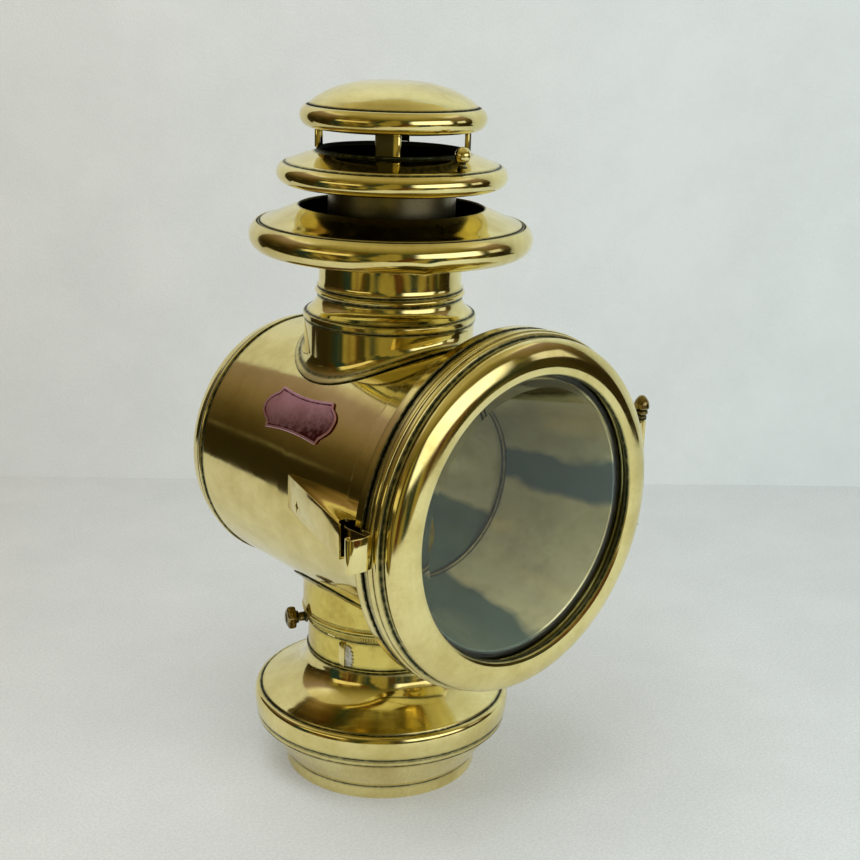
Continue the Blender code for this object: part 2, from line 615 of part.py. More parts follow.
def build_canopies(brass, cowl):
    floor = PAN_Z + GAP
    centre = (LOWER_CANOPY_RADIUS - LOWER_CANOPY_BEAD, floor + LOWER_CANOPY_BEAD / 2)
    groove = canopy_groove(LOWER_CANOPY_RADIUS, LOWER_CANOPY_BEAD, centre[1])
    top = [(LOWER_CANOPY_HOLE, LOWER_LIP_Z), (groove[0] - SHEET, groove[1] + SHEET * 3 / 4)]
    under = [(LOWER_CANOPY_HOLE, LOWER_LIP_Z - SHEET)]
    outline = canopy_outline(top, under, centre, LOWER_CANOPY_BEAD, -150, LOWER_CANOPY_LEDGE)
    lathe("lower_canopy", outline, brass, CANOPY_STEPS)

    centre = (MIDDLE_CANOPY_RADIUS - MIDDLE_CANOPY_BEAD, MIDDLE_FLOOR_Z + MIDDLE_CANOPY_BEAD)
    groove = canopy_groove(MIDDLE_CANOPY_RADIUS, MIDDLE_CANOPY_BEAD, centre[1])
    top = [(MIDDLE_CANOPY_HOLE - SHEET, MIDDLE_LIP_Z), (MIDDLE_CANOPY_HOLE, MIDDLE_LIP_Z)]
    top += [(groove[0] - SHEET, groove[1] + SHEET * 3 / 4)]
    under = [(MIDDLE_CANOPY_HOLE - SHEET, MIDDLE_LIP_Z - SHEET * 2)]
    outline = canopy_outline(top, under, centre, MIDDLE_CANOPY_BEAD, -90, CHIMNEY_RADIUS + GAP)
    lathe("middle_canopy", outline, brass, CANOPY_STEPS, cowl)

    centre = (CAP_RADIUS - CAP_BEAD, CAP_FLOOR_Z + CAP_BEAD)
    groove = canopy_groove(CAP_RADIUS, CAP_BEAD, centre[1])
    apex = CAP_FLOOR_Z + CAP_RISE
    top = between(CAP_DOME_SHARES, (0, groove[0]), (groove[1], apex))
    under = between(CAP_DOME_SHARES[::2], (0, groove[0] - SHEET), (groove[1] - SHEET, apex - SHEET))
    outline = canopy_outline(top, under[::-1], centre, CAP_BEAD, -90, CAP_HOLE)
    lathe("top_cap", outline, brass, CANOPY_STEPS, cowl)


def build_chimney(sooty, cowl):
    low = PAN_Z - CHIMNEY_DEPTH
    high = MIDDLE_FLOOR_Z + MIDDLE_CANOPY_RISE * CHIMNEY_TOP_SHARE
    bead_z = MIDDLE_FLOOR_Z - GAP - CHIMNEY_BEAD
    bead = arc((CHIMNEY_RADIUS, bead_z), CHIMNEY_BEAD, -90, 90, 4)
    inside = CHIMNEY_RADIUS - SHEET
    outline = [(CHIMNEY_RADIUS, low), *bead, (CHIMNEY_RADIUS, high), (inside, high), (inside, low)]
    lathe("chimney_tube", outline, sooty, TUBE_STEPS, cowl)

    foot = PAN_Z + GAP
    bore = CHIMNEY_RADIUS + GAP
    band = [(bore, foot), (bore + STRIP, foot), (bore + STRIP, foot + SPIDER_BAND), (bore, foot + SPIDER_BAND)]
    spider = lathe("cowl_spider", band, sooty, TUBE_STEPS, cowl)
    tip = LOWER_CANOPY_HOLE - SPIDER_MARGIN
    half = SPIDER_ARM_WIDTH / 2
    start = bore + STRIP / 2
    for i in range(4):
        arm = box(f"spider_arm_{i + 1}", (start, -half, foot), (tip, half, foot + STRIP), sooty, cowl)
        arm.rotation_euler = (0, 0, tau * i / 4)
        combine(spider, arm, "UNION")


def build_posts(sooty, cowl):
    """Four straps between the middle canopy and the cap, with their long edges folded in."""
    half = POST_WIDTH / 2 - SHEET / 2
    face = POST_RADIUS - SHEET / 2
    back = POST_RADIUS - POST_FOLD
    outline = strap_outline([(back, -half), (face, -half), (face, half), (back, half)], SHEET)
    low = MIDDLE_LIP_Z + GAP
    for i in range(4):
        post = prism(f"cap_post_{i + 1}", outline, low, low + POST_HEIGHT, sooty, cowl)
        post.rotation_euler = (0, 0, tau * (i + 1 / 2) / 4)


def build_vent_knob(brass, cowl):
    """A ball on a short stem, standing on the middle canopy's cone at the front."""
    centre_z = MIDDLE_FLOOR_Z + MIDDLE_CANOPY_BEAD
    groove = canopy_groove(MIDDLE_CANOPY_RADIUS, MIDDLE_CANOPY_BEAD, centre_z)
    slope = (MIDDLE_LIP_Z - groove[1]) / (groove[0] - MIDDLE_CANOPY_HOLE)
    inward = BALL_PLACE_RADIUS - BALL_STEM_RADIUS - MIDDLE_CANOPY_HOLE
    foot = MIDDLE_LIP_Z - slope * inward + GAP
    ball = arc((0, BALL_STEM_LENGTH + BALL_RADIUS), BALL_RADIUS, -65, 90, 7)
    outline = [(0, 0), (BALL_STEM_RADIUS, 0), *ball[:-1], (0, ball[-1][1])]
    lathe("vent_knob", outline, brass, SMALL_STEPS, cowl, (0, -BALL_PLACE_RADIUS, foot))


def build_door(brass, glass, frame):
    across = (OPENING_RADIUS, DOOR_RADIUS)
    along = (DOOR_REACH, DOOR_FRONT_REACH)
    seat = DOOR_FRONT_REACH - GLASS_SEAT
    pocket = GLASS_RADIUS + GAP
    pocket_back = DOOR_REACH + DOOR_DEPTH * DOOR_POCKET_SHARE
    wall = pocket + SHEET
    outline = between(DOOR_OUTER_SHARES, across, along)
    outline += [(OPENING_RADIUS, seat), (pocket, seat), (pocket, pocket_back), (wall, pocket_back)]
    outline += [(wall, seat + SHEET), *between(DOOR_INNER_SHARES, across, along)]
    lathe("door_frame", outline, brass, DRUM_STEPS, frame)

    front = GLASS_REACH + GLASS_THICKNESS
    disc = [(0, GLASS_REACH), (GLASS_RADIUS, GLASS_REACH), (GLASS_RADIUS, GLASS_REACH + GLASS_EDGE)]
    disc += [(GLASS_RADIUS - GLASS_BEVEL, front), (0, front)]
    lathe("front_glass", disc, glass, DRUM_STEPS, frame)

    centre = (GLASS_RADIUS - GLASS_RING_WIRE, GLASS_REACH - GAP - GLASS_RING_WIRE)
    wire = arc(centre, GLASS_RING_WIRE, 0, 270, 4)
    lathe("glass_ring", wire, brass, DRUM_STEPS, frame)


def build_hinge(brass, hinge, frame):
    """Two leaves with knuckles on one upright pin. Their plates are fitted round the rim and the door."""
    half = HINGE_LENGTH / 2
    door_half = DOOR_KNUCKLE_LENGTH / 2
    bore = PIN_RADIUS + GAP
    near = KNUCKLE_RADIUS - LEAF_THICKNESS / 2
    far = near + LEAF_THICKNESS
    inner_x = KNUCKLE_RADIUS + GAP
    deep = HINGE_OFFSET * 2
    knuckle = [(bore, 0), (KNUCKLE_RADIUS, 0), (KNUCKLE_RADIUS, 1), (bore, 1)]

    def knuckle_between(name, low, high, parent):
        outline = [(radius, low + (high - low) * share) for radius, share in knuckle]
        return lathe(name, outline, brass, SMALL_STEPS, parent)

    def leaf_box(name, low, high, reach_x, side, parent):
        sides = sorted((side * near, side * far))
        corners = ((-deep, sides[0], low), (reach_x, sides[1], high))
        return box(name, *corners, brass, parent)

    body_hinge = make_empty("body_hinge_place", (HINGE_X, -HINGE_REACH, DRUM_AXIS_Z))
    body = leaf_box("body_hinge_leaf", -half, half, -inner_x, 1, body_hinge)
    around = RIM_RADIUS + GAP
    low, high = RIM_REACH - RIM_BAND, DOOR_REACH
    band = [(0, low), (around, low), (around, high), (0, high)]
    rim_cut = lathe("hinge_rim_cut", band, brass, DRUM_STEPS, frame)
    combine(body, rim_cut, "DIFFERENCE")
    for name, low, high in (("lower", -half, -door_half - GAP), ("upper", door_half + GAP, half)):
        arm = leaf_box(f"{name}_leaf_arm", low, high, -bore, 1, body_hinge)
        combine(arm, rim_cut, "DIFFERENCE")
        combine(body, arm, "UNION")
        combine(body, knuckle_between(f"{name}_knuckle", low, high, body_hinge), "UNION")

    door = leaf_box("door_hinge_leaf", -half, half, -inner_x, -1, hinge)
    ring = OPENING_RADIUS + (DOOR_RADIUS - OPENING_RADIUS) * DOOR_BEAD_SHARE + GAP
    band = [(0, DOOR_REACH - OVERRUN), (ring, DOOR_REACH - OVERRUN)]
    band += [(ring, DOOR_FRONT_REACH), (0, DOOR_FRONT_REACH)]
    door_cut = lathe("hinge_door_cut", band, brass, DRUM_STEPS, frame)
    combine(door, door_cut, "DIFFERENCE")
    arm = leaf_box("door_leaf_arm", -door_half, door_half, -bore, -1, hinge)
    combine(arm, door_cut, "DIFFERENCE")
    combine(door, arm, "UNION")
    combine(door, knuckle_between("door_knuckle", -door_half, door_half, hinge), "UNION")

    finial = [(FINIAL_RADIUS * a, half + FINIAL_HEIGHT * b) for a, b in FINIAL_SHARES]
    finial = [(PIN_RADIUS, finial[0][1]), *finial[1:]]
    head = [(KNUCKLE_RADIUS * a, -half - GAP - PIN_HEAD_HEIGHT * b) for a, b in PIN_HEAD_SHARES]
    outline = [*head, (PIN_RADIUS, -half - GAP), *finial]
    lathe("hinge_pin", outline, brass, SMALL_STEPS, body_hinge)


def build_latch(brass, dark, frame, hinge):
    low = LATCH_Z - LATCH_HEIGHT / 2
    high = LATCH_Z + LATCH_HEIGHT / 2
    rear = Vector((-drum_radius_at(LATCH_REAR_REACH) - GAP, -LATCH_REAR_REACH))
    front = Vector((-RIM_RADIUS - LATCH_STANDOFF, -LATCH_FRONT_REACH))
    inside_x = -DRUM_RADIUS / 2
    plan = [rear, front, (inside_x, front.y), (inside_x, rear.y)]
    housing = prism("latch_housing", plan, low, high, brass)
    along = (front - rear).normalized()
    inward = Vector((-along.y, along.x)) * STRIP
    beyond = front + inward + along * OVERRUN
    hollow = [rear + inward, beyond, (inside_x, beyond.y), (inside_x, rear.y)]
    combine(housing, prism("latch_hollow", hollow, low + STRIP, high - STRIP, brass), "DIFFERENCE")
    combine(housing, envelope("latch_drum_cut", GAP, brass, frame), "DIFFERENCE")
    notch_x = front.x + STRIP + LATCH_NOTCH_RADIUS
    place = (notch_x, front.y, 0)
    top = (high - STRIP * 2, high + OVERRUN)
    notch = column("latch_notch", LATCH_NOTCH_RADIUS, *top, brass, None, place, SMALL_STEPS)
    combine(housing, notch, "DIFFERENCE")

    lift = GAP + SPRING_THICKNESS / 2
    root = Vector((-drum_radius_at(SPRING_ROOT_REACH) - lift, -SPRING_ROOT_REACH))
    bend = Vector((-drum_radius_at(SPRING_BEND_REACH) - lift, -SPRING_BEND_REACH))
    tip_x = -RIM_RADIUS - SPRING_MARGIN - SPRING_THICKNESS / 2
    plate_y = -DOOR_REACH - CATCH_PLATE_REACH
    tip = (tip_x, plate_y + STRIP)
    path = [root, bend, (tip_x, -LATCH_FRONT_REACH), tip]
    place = make_empty("latch_pivot", (root.x, root.y, LATCH_Z))
    outline = [Vector(point) - root for point in strap_outline(path, SPRING_THICKNESS)]
    half = SPRING_WIDTH / 2
    prism("latch_spring", outline, -half, half, dark, place)

    ring = OPENING_RADIUS + (DOOR_RADIUS - OPENING_RADIUS) * DOOR_BEAD_SHARE
    foot_x = -ring - GAP - STRIP / 2
    curl = (foot_x - CATCH_STANDOUT, plate_y + CATCH_CURL_RADIUS)
    path = [(foot_x, -DOOR_REACH - CATCH_FOOT_SETBACK), (foot_x, plate_y)]
    path += arc(curl, CATCH_CURL_RADIUS, 270, 90, 6)
    origin = Vector((HINGE_X, -HINGE_REACH))
    outline = [Vector(point) - origin for point in strap_outline(path, STRIP)]
    margin = STRIP / 2
    low_edge = low + margin - DRUM_AXIS_Z
    high_edge = high - margin - DRUM_AXIS_Z
    prism("door_catch", outline, low_edge, high_edge, brass, hinge)


def build_badge(copper, frame):
    """A bare plate bent round the drum: the part of a thin skin over the drum that its outline covers."""
    skin = envelope("badge_plate", GAP + BADGE_THICKNESS, copper, frame)
    combine(skin, envelope("badge_drum_cut", GAP, copper, frame), "DIFFERENCE")
    outline = [(BADGE_LENGTH * a, BADGE_HEIGHT * b) for a, b in BADGE_SHARES]
    place = make_empty("badge_place", (0, -BADGE_REACH, DRUM_AXIS_Z), None, (0, BADGE_ANGLE, 0))
    turned = make_empty("badge_side", (0, 0, 0), place, (pi / 2, 0, -pi / 2))
    far = DRUM_RADIUS * 3 / 2
    cutter = prism("badge_outline", outline, DRUM_RADIUS / 2, far, copper, turned)
    combine(skin, cutter, "INTERSECT")


def build_font(brass, solder, font):
    taper = between(FONT_TAPER_SHARES, (FOOT_RADIUS, FONT_RADIUS), (FONT_WALL_BOTTOM, FOOT_HEIGHT))
    top = FONT_WALL_TOP - GAP
    outer = [(FONT_RADIUS, top), (FONT_RADIUS, FONT_WALL_BOTTOM), *taper, (FOOT_RADIUS, 0)]
    inner = [(radius - SHEET, z + SHEET / 2) for radius, z in taper[::-2]]
    inner += [(FONT_RADIUS - SHEET, FONT_WALL_BOTTOM), (FONT_RADIUS - SHEET, top)]
    floor = [(0, 0), (0, SHEET), (FOOT_RADIUS - SHEET, SHEET)]
    outline = [*floor[1:], *inner, *outer, floor[0]]
    lathe("font_bowl", outline, brass, DRUM_STEPS, font)

    bead_top = FONT_WALL_TOP + FONT_BEAD_HEIGHT
    shoulder_foot = bead_top + FONT_BEAD_HEIGHT / 3
    slope = between(SHOULDER_SHARES, (SHOULDER_TOP_RADIUS, FONT_RADIUS), (shoulder_foot, FONT_HEIGHT))
    bead = [(FONT_RADIUS, bead_top), (FONT_BEAD_RADIUS, bead_top - SHEET)]
    bead += [(FONT_BEAD_RADIUS, FONT_WALL_TOP + SHEET), (FONT_RADIUS, FONT_WALL_TOP)]
    hole = BOSS_RADIUS + GAP
    under = [(radius - SHEET, z - SHEET) for radius, z in slope[-2:1:-2]]
    under = [(FONT_RADIUS - SHEET * 2, FONT_WALL_TOP), *under]
    under += [(SHOULDER_TOP_RADIUS - SHEET, FONT_HEIGHT - SHEET), (hole, FONT_HEIGHT - SHEET)]
    lathe("font_shoulder", [(hole, FONT_HEIGHT), *slope, *bead, *under], brass, DRUM_STEPS, font)

    low = FONT_HEIGHT + GAP
    high = COLLAR_FOOT_Z + NECK_BAND_RISE
    swell = COLLAR_BORE - GAP
    swell_z = COLLAR_FOOT_Z + NECK_BAND_RISE / 2
    inside = NECK_BAND_RADIUS - SHEET
    band = [(NECK_BAND_RADIUS, low), (NECK_BAND_RADIUS, COLLAR_FOOT_Z), (swell, swell_z), (swell, high)]
    band += [(swell - SHEET, high), (swell - SHEET, swell_z), (inside, COLLAR_FOOT_Z), (inside, low)]
    neck = lathe("font_neck", band, brass, CANOPY_STEPS, font)

    depth = NECK_BAND_RADIUS + GAP
    half = KEY_WIDTH / 2
    corners = ((depth, -half, low + SHEET), (depth + SHEET, half, low + SHEET + KEY_HEIGHT))
    key = box("neck_key", *corners, solder, font)
    key.rotation_euler = (0, 0, KEY_ANGLE)
    return neck


def build_burner(brass, cotton, font, neck):
    burner = make_empty("burner_place", (0, 0, 0), font, (0, 0, WINDER_ANGLE))
    foot = BURNER_FOOT_Z
    top = foot + BURNER_HEIGHT
    inside = BURNER_RADIUS - SHEET
    boss_foot = FONT_HEIGHT - BOSS_DEPTH
    outline = [(BOSS_RADIUS, boss_foot), (BOSS_RADIUS, foot), (BURNER_FLANGE_RADIUS, foot)]
    outline += [(BURNER_FLANGE_RADIUS, foot + BURNER_FLANGE_HEIGHT), (BURNER_RADIUS, foot + BURNER_FLANGE_HEIGHT)]
    outline += [(BURNER_RADIUS, top), (BURNER_TOP_HOLE, top), (BURNER_TOP_HOLE, top - SHEET)]
    outline += [(inside, top - SHEET), (inside, foot), (BOSS_RADIUS - SHEET, boss_foot)]
    body = lathe("burner_body", outline, brass, TUBE_STEPS, burner)

    half_width = TUBE_WIDTH / 2
    half_depth = TUBE_THICKNESS / 2
    low = FONT_HEIGHT - TUBE_DIP
    corners = ((-half_width, -half_depth, low), (half_width, half_depth, TUBE_TOP_Z))
    tube = box("wick_tube", *corners, brass, burner)
    flange_top = TUBE_FLANGE_Z + SHEET
    flange = column("tube_flange", TUBE_FLANGE_RADIUS, TUBE_FLANGE_Z, flange_top, brass, burner)
    combine(tube, flange, "UNION")
    bore_low = (-half_width + TUBE_WALL, -half_depth + TUBE_WALL, low - OVERRUN)
    bore_high = (half_width - TUBE_WALL, half_depth - TUBE_WALL, TUBE_TOP_Z + OVERRUN)
    combine(tube, box("tube_bore", bore_low, bore_high, brass, burner), "DIFFERENCE")

    spread_foot = flange_top + GAP
    spread = (spread_foot, spread_foot + SPREADER_HEIGHT)
    outer = between(SPREADER_SHARES, (0, SPREADER_RADIUS), spread)
    inner = between(SPREADER_SHARES, (0, SPREADER_RADIUS - SHEET), (spread[0], spread[1] - SHEET))
    cap = lathe("burner_cap", [*inner[::-1], *outer], brass, TUBE_STEPS, burner)
    margin = SPREADER_SLOT_MARGIN
    slot_low = (-half_width - margin, -half_depth - margin, spread_foot + SPREADER_HEIGHT / 2)
    slot_high = (half_width + margin, half_depth + margin, spread[1] + OVERRUN)
    combine(cap, box("cap_slot", slot_low, slot_high, brass, burner), "DIFFERENCE")
    reach = SPREADER_RADIUS + OVERRUN
    for i in range(AIR_HOLES // 2):
        place = make_empty(f"air_place_{i + 1}", (0, 0, spread_foot + AIR_HOLE_RADIUS * 3), burner)
        place.rotation_euler = (pi / 2, 0, tau * (i + 1 / 2) / AIR_HOLES)
        rod = column(f"air_rod_{i + 1}", AIR_HOLE_RADIUS, -reach, reach, brass, place, (0, 0, 0), TINY_STEPS)
        combine(cap, rod, "DIFFERENCE")

    wick_top = TUBE_TOP_Z + WICK_STANDOUT
    half_wick = WICK_WIDTH / 2
    corners = ((-half_wick, -WICK_THICKNESS / 2, -WICK_LENGTH), (half_wick, WICK_THICKNESS / 2, 0))
    box("wick", *corners, cotton, burner, (0, 0, wick_top))

    axis = make_empty("winder_axis", (0, -WHEEL_OFFSET, WINDER_Z), burner, (0, pi / 2, 0))
    bore = SPINDLE_RADIUS + GAP
    for i, place in enumerate((-WHEEL_SPACING / 2, WHEEL_SPACING / 2)):
        slot_half = WHEEL_THICKNESS / 2 + GAP * 2
        slot_rise = WHEEL_RADIUS + GAP * 2
        slot_low = (place - slot_half, -half_depth - OVERRUN, WINDER_Z - slot_rise)
        slot_high = (place + slot_half, -half_depth + TUBE_WALL * 3 / 2, WINDER_Z + slot_rise)
        combine(tube, box(f"wheel_slot_{i + 1}", slot_low, slot_high, brass, burner), "DIFFERENCE")
        build_star_wheel(f"star_wheel_{i + 1}", place, bore, brass, axis)
    build_winder(brass, axis)
    for piece, name in ((body, "body_spindle_hole"), (neck, "neck_spindle_hole")):
        hole = column(name, bore, BURNER_RADIUS / 2, SPINDLE_END, brass, axis, (0, 0, 0), SMALL_STEPS)
        combine(piece, hole, "DIFFERENCE")


def build_star_wheel(name, place, bore, brass, axis):
    """A toothed wheel whose points bite into the wick's face."""
    low = place - WHEEL_THICKNESS / 2
    high = place + WHEEL_THICKNESS / 2
    teeth = [WHEEL_RADIUS, WHEEL_RADIUS * WHEEL_ROOT_SHARE] * WHEEL_TEETH
    holes = [bore] * len(teeth)
    rings = [ring_points(teeth, low), ring_points(teeth, high), ring_points(holes, high), ring_points(holes, low)]
    make_object(name, loft_mesh(rings, closed=True), brass, axis)


def build_winder(brass, axis):
    """The spindle, the bush that it turns in and its lobed knob."""
    start = -WHEEL_SPACING / 2 - SPINDLE_TAIL
    knob_start = SPINDLE_END + GAP
    column("winder_spindle", SPINDLE_RADIUS, start, knob_start, brass, axis, (0, 0, 0), TINY_STEPS)
    bore = SPINDLE_RADIUS + GAP
    low = NECK_BAND_RADIUS + GAP
    high = SPINDLE_END
    bush = [(bore, low), (BUSH_RADIUS, low), (BUSH_RADIUS, low + SHEET)]
    bush += [(BUSH_RADIUS * 3 / 4, (low + high) / 2), (BUSH_RADIUS * 3 / 4, high), (bore, high)]
    lathe("winder_bush", bush, brass, SMALL_STEPS, axis)
    waves = [cos(tau * i / LOBE_STEPS) for i in range(KNOB_LOBES * LOBE_STEPS)]
    rings = []
    for across, along in KNOB_SHARES:
        radii = [KNOB_RADIUS * across * (1 - KNOB_LOBE_SHARE * (1 - wave)) for wave in waves]
        rings.append(ring_points(radii, knob_start + GAP + KNOB_LENGTH * along))
    make_object("winder_knob", loft_mesh(rings), brass, axis)


def build():
    clear_scene()
    brass = make_material("polished brass", (0.72, 0.52, 0.18), 1.0, 0.14)
    dull = make_material("dull brass", (0.45, 0.31, 0.12), 1.0, 0.35)
    sooty = make_material("sooty brass", (0.07, 0.05, 0.03), 0.6, 0.55)
    silver = make_material("silver plate", (0.62, 0.60, 0.53), 1.0, 0.12)
    copper = make_material("copper", (0.42, 0.20, 0.19), 1.0, 0.3)
    glass = make_material("bevelled glass", (0.55, 0.66, 0.66), 0.0, 0.03)
    cotton = make_material("cotton wick", (0.72, 0.68, 0.58), 0.0, 0.95)
    solder = make_material("solder", (0.45, 0.45, 0.42), 0.9, 0.4)

    frame = make_empty("drum_axis", (0, 0, DRUM_AXIS_Z), None, (pi / 2, 0, 0))
    hinge = make_empty("door_hinge", (HINGE_X, -HINGE_REACH, DRUM_AXIS_Z))
    door_axis = make_empty("door_axis", (-HINGE_X, HINGE_REACH, 0), hinge, (pi / 2, 0, 0))
    cowl = make_empty("cowl_lift", (0, 0, 0))
    font = make_empty("font_seat", (0, 0, 0))

    build_drum(brass, frame)
    build_rear_cover(brass, frame)
    build_front_rim(brass, frame)
    build_reflectors(silver, brass, frame)
    build_collars(brass)
    build_neck(brass)
    build_canopies(brass, cowl)
    build_chimney(sooty, cowl)
    build_posts(sooty, cowl)
    build_vent_knob(brass, cowl)
    build_door(brass, glass, door_axis)
    build_hinge(brass, hinge, frame)
    build_latch(brass, dull, frame, hinge)
    build_badge(copper, frame)
    neck = build_font(brass, solder, font)
    build_burner(dull, cotton, font, neck)


build()
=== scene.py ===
"""Detailed pieces, finishes and a plain studio for a polished brass carriage lamp."""

from collections import namedtuple
from math import atan2, cos, exp, pi, radians, sin, sqrt, tan, tau

import bpy
from bpy.props import FloatProperty, FloatVectorProperty, IntProperty, PointerProperty
from mathutils import Matrix, Vector
from mathutils.geometry import intersect_point_line


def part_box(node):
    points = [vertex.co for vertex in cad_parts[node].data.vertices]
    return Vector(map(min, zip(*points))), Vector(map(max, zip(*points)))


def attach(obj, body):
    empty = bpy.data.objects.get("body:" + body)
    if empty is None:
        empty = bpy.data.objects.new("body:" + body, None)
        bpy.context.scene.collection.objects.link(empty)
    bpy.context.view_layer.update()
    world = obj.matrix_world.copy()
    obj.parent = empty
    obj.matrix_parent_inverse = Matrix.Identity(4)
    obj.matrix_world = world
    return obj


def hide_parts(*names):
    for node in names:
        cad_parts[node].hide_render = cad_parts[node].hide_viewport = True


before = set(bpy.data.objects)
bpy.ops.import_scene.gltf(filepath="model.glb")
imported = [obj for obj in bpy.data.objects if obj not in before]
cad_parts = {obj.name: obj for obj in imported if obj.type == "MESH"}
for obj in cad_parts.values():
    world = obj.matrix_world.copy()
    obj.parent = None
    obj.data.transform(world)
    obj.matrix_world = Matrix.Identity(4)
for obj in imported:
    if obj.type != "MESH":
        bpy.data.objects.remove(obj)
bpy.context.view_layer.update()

bl_info = {
    "name": "Carriage Lamp",
    "version": (1, 0, 0),
    "blender": (4, 5, 0),
    "location": "View3D > Sidebar > Lamp",
    "description": "Builds the fine pieces of a brass carriage lamp, its finishes and a studio",
    "category": "Add Mesh",
}

# Lengths are in mm, and are multiplied by MM where Blender takes them.
MM = 0.001
GAP = 0.3
SHEET = 1.0

DRUM_WAIST = 72.3
DRUM_REAR = 72
DRUM_FRONT = 62
DRUM_STEPS = 224

Axis = namedtuple("Axis", "origin along across")


def linear(code):
    """An sRGB hex colour as linear RGB."""
    channels = [int(code[i:i + 2], 16) / 255 for i in (1, 3, 5)]
    return tuple(c / 12.92 if c <= 0.04045 else ((c + 0.055) / 1.055) ** 2.4 for c in channels)


def box_mm(node):
    low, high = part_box(node)
    return low / MM, high / MM


def heights(node):
    return [corner.z for corner in box_mm(node)]


def disc(node):
    """The rear and front reach of a round piece on the drum's axis, and its radius."""
    low, high = box_mm(node)
    return -high.y, -low.y, high.x


def standing_axis(x, y, z=0):
    return Axis(Vector((x, y, z)) * MM, Vector((0, 0, 1)), Vector((1, 0, 0)))


DRUM_Z = sum(heights("front_rim")) / 2
DRUM_CENTRE = Matrix.Translation((0, 0, DRUM_Z * MM))
FONT_TOP = heights("font_shoulder")[1]
COLLAR_FOOT = heights("lower_collar")[0]
COLLAR_TOP = heights("upper_collar")[1]
PAN = heights("vent_neck")[1]
LOWER_LIP = heights("lower_canopy")[1]
MIDDLE_FLOOR, MIDDLE_LIP = heights("middle_canopy")
CAP_FLOOR, CAP_TOP = heights("top_cap")
DOOR_BACK = -box_mm("door_frame")[1].y
HINGE_TOP = heights("hinge_pin")[1]
HINGE = sum(box_mm("hinge_pin"), Vector()) / 2

FLUE_AXIS = standing_axis(0, 0)
DRUM_AXIS = Axis(Vector((0, 0, DRUM_Z * MM)), Vector((0, -1, 0)), Vector((1, 0, 0)))
HINGE_AXIS = standing_axis(HINGE.x, HINGE.y, DRUM_Z)
WINDER_ALONG = Vector((-0.90924, 0.41628, 0)).normalized()
WINDER_AXIS = Axis(Vector((0.002706, 0.00591, 0.0845)), WINDER_ALONG, Vector((0, 0, 1)))
WINDER_ANGLE = atan2(WINDER_ALONG.y, WINDER_ALONG.x)
WINDER_PLACE = WINDER_ALONG.to_track_quat("Z", "Y").to_matrix().to_4x4()
WINDER_PLACE.translation = WINDER_AXIS.origin
SPINDLE_HOLE = 1.9

# Level directions towards the wall, and along it to the right.
AWAY = Vector((0.6393, 0.7689, 0)).normalized()
RIGHT = AWAY.cross(Vector((0, 0, 1)))


# Outlines

def arc(centre, radius, start, end, count=10):
    """Points of an arc, between angles in degrees from the first direction."""
    angles = [radians(start + (end - start) * i / count) for i in range(count + 1)]
    return [(centre[0] + radius * cos(a), centre[1] + radius * sin(a)) for a in angles]


def curve(points, count=6):
    """A smooth run through these points."""
    places = [Vector(point) for point in points]
    places = [places[0] * 2 - places[1], *places, places[-1] * 2 - places[-2]]
    made = []
    for i in range(1, len(places) - 2):
        a, b, c, d = places[i - 1:i + 3]
        for k in range(count):
            t = k / count
            made.append((2 * b + (c - a) * t + (2 * a - 5 * b + 4 * c - d) * t ** 2
                         + (3 * b - a - 3 * c + d) * t ** 3) / 2)
    return [tuple(point) for point in [*made, places[-2]]]


def rounded(corners, count=4):
    """The outline with each corner that has a third number rounded to that radius."""
    made = []
    for i, corner in enumerate(corners):
        here = Vector(corner[:2])
        if len(corner) < 3:
            made.append(tuple(here))
            continue
        before = Vector(corners[i - 1][:2]) - here
        after = Vector(corners[(i + 1) % len(corners)][:2]) - here
        half = before.angle(after) / 2
        if half > 1.55:
            made.append(tuple(here))
            continue
        tangent = min(corner[2] / tan(half), 0.48 * before.length, 0.48 * after.length)
        middle = here + (before.normalized() + after.normalized()).normalized() * tangent / cos(half)
        start = here + before.normalized() * tangent - middle
        end = here + after.normalized() * tangent - middle
        turn = start.angle(end) * (1 if start.x * end.y - start.y * end.x > 0 else -1)
        for k in range(count + 1):
            made.append(tuple(middle + Matrix.Rotation(turn * k / count, 2) @ start))
    return made


def strap(path, thickness):
    """The outline of a strip of even thickness whose middle follows the path."""
    points = [Vector(point) for point in path]
    legs = [(b - a).normalized() for a, b in zip(points, points[1:])]
    left, right = [], []
    for point, first, second in zip(points, [legs[0], *legs], [*legs, legs[-1]]):
        along = (first + second).normalized()
        reach = Vector((-along.y, along.x)) * thickness / 2 / along.dot(first)
        left.append(tuple(point + reach))
        right.append(tuple(point - reach))
    return left + right[::-1]


def inset(points, depth):
    """The run moved to its right-hand side by the depth."""
    places = [Vector(point[:2]) for point in points]
    moved = []
    for i, place in enumerate(places):
        along = places[min(i + 1, len(places) - 1)] - places[max(i - 1, 0)]
        moved.append(tuple(place + Vector((along.y, -along.x)).normalized() * depth))
    return moved


# Mesh steps

def select_only(obj):
    bpy.ops.object.select_all(action="DESELECT")
    obj.select_set(True)
    bpy.context.view_layer.objects.active = obj


def edit(obj, action="SELECT"):
    select_only(obj)
    bpy.ops.object.mode_set(mode="EDIT")
    bpy.ops.mesh.select_mode(type="VERT")
    bpy.ops.mesh.select_all(action=action)


def leave():
    bpy.ops.object.mode_set(mode="OBJECT")


def face_outward(obj):
    edit(obj)
    bpy.ops.mesh.normals_make_consistent(inside=False)
    leave()


def bisect_at(points, normal):
    """In edit mode, adds a ring of edges in the plane through each of these points."""
    for point in points:
        bpy.ops.mesh.select_all(action="SELECT")
        bpy.ops.mesh.bisect(plane_co=point, plane_no=normal)


def smooth(obj, angle=32):
    select_only(obj)
    bpy.ops.object.shade_smooth_by_angle(angle=radians(angle))


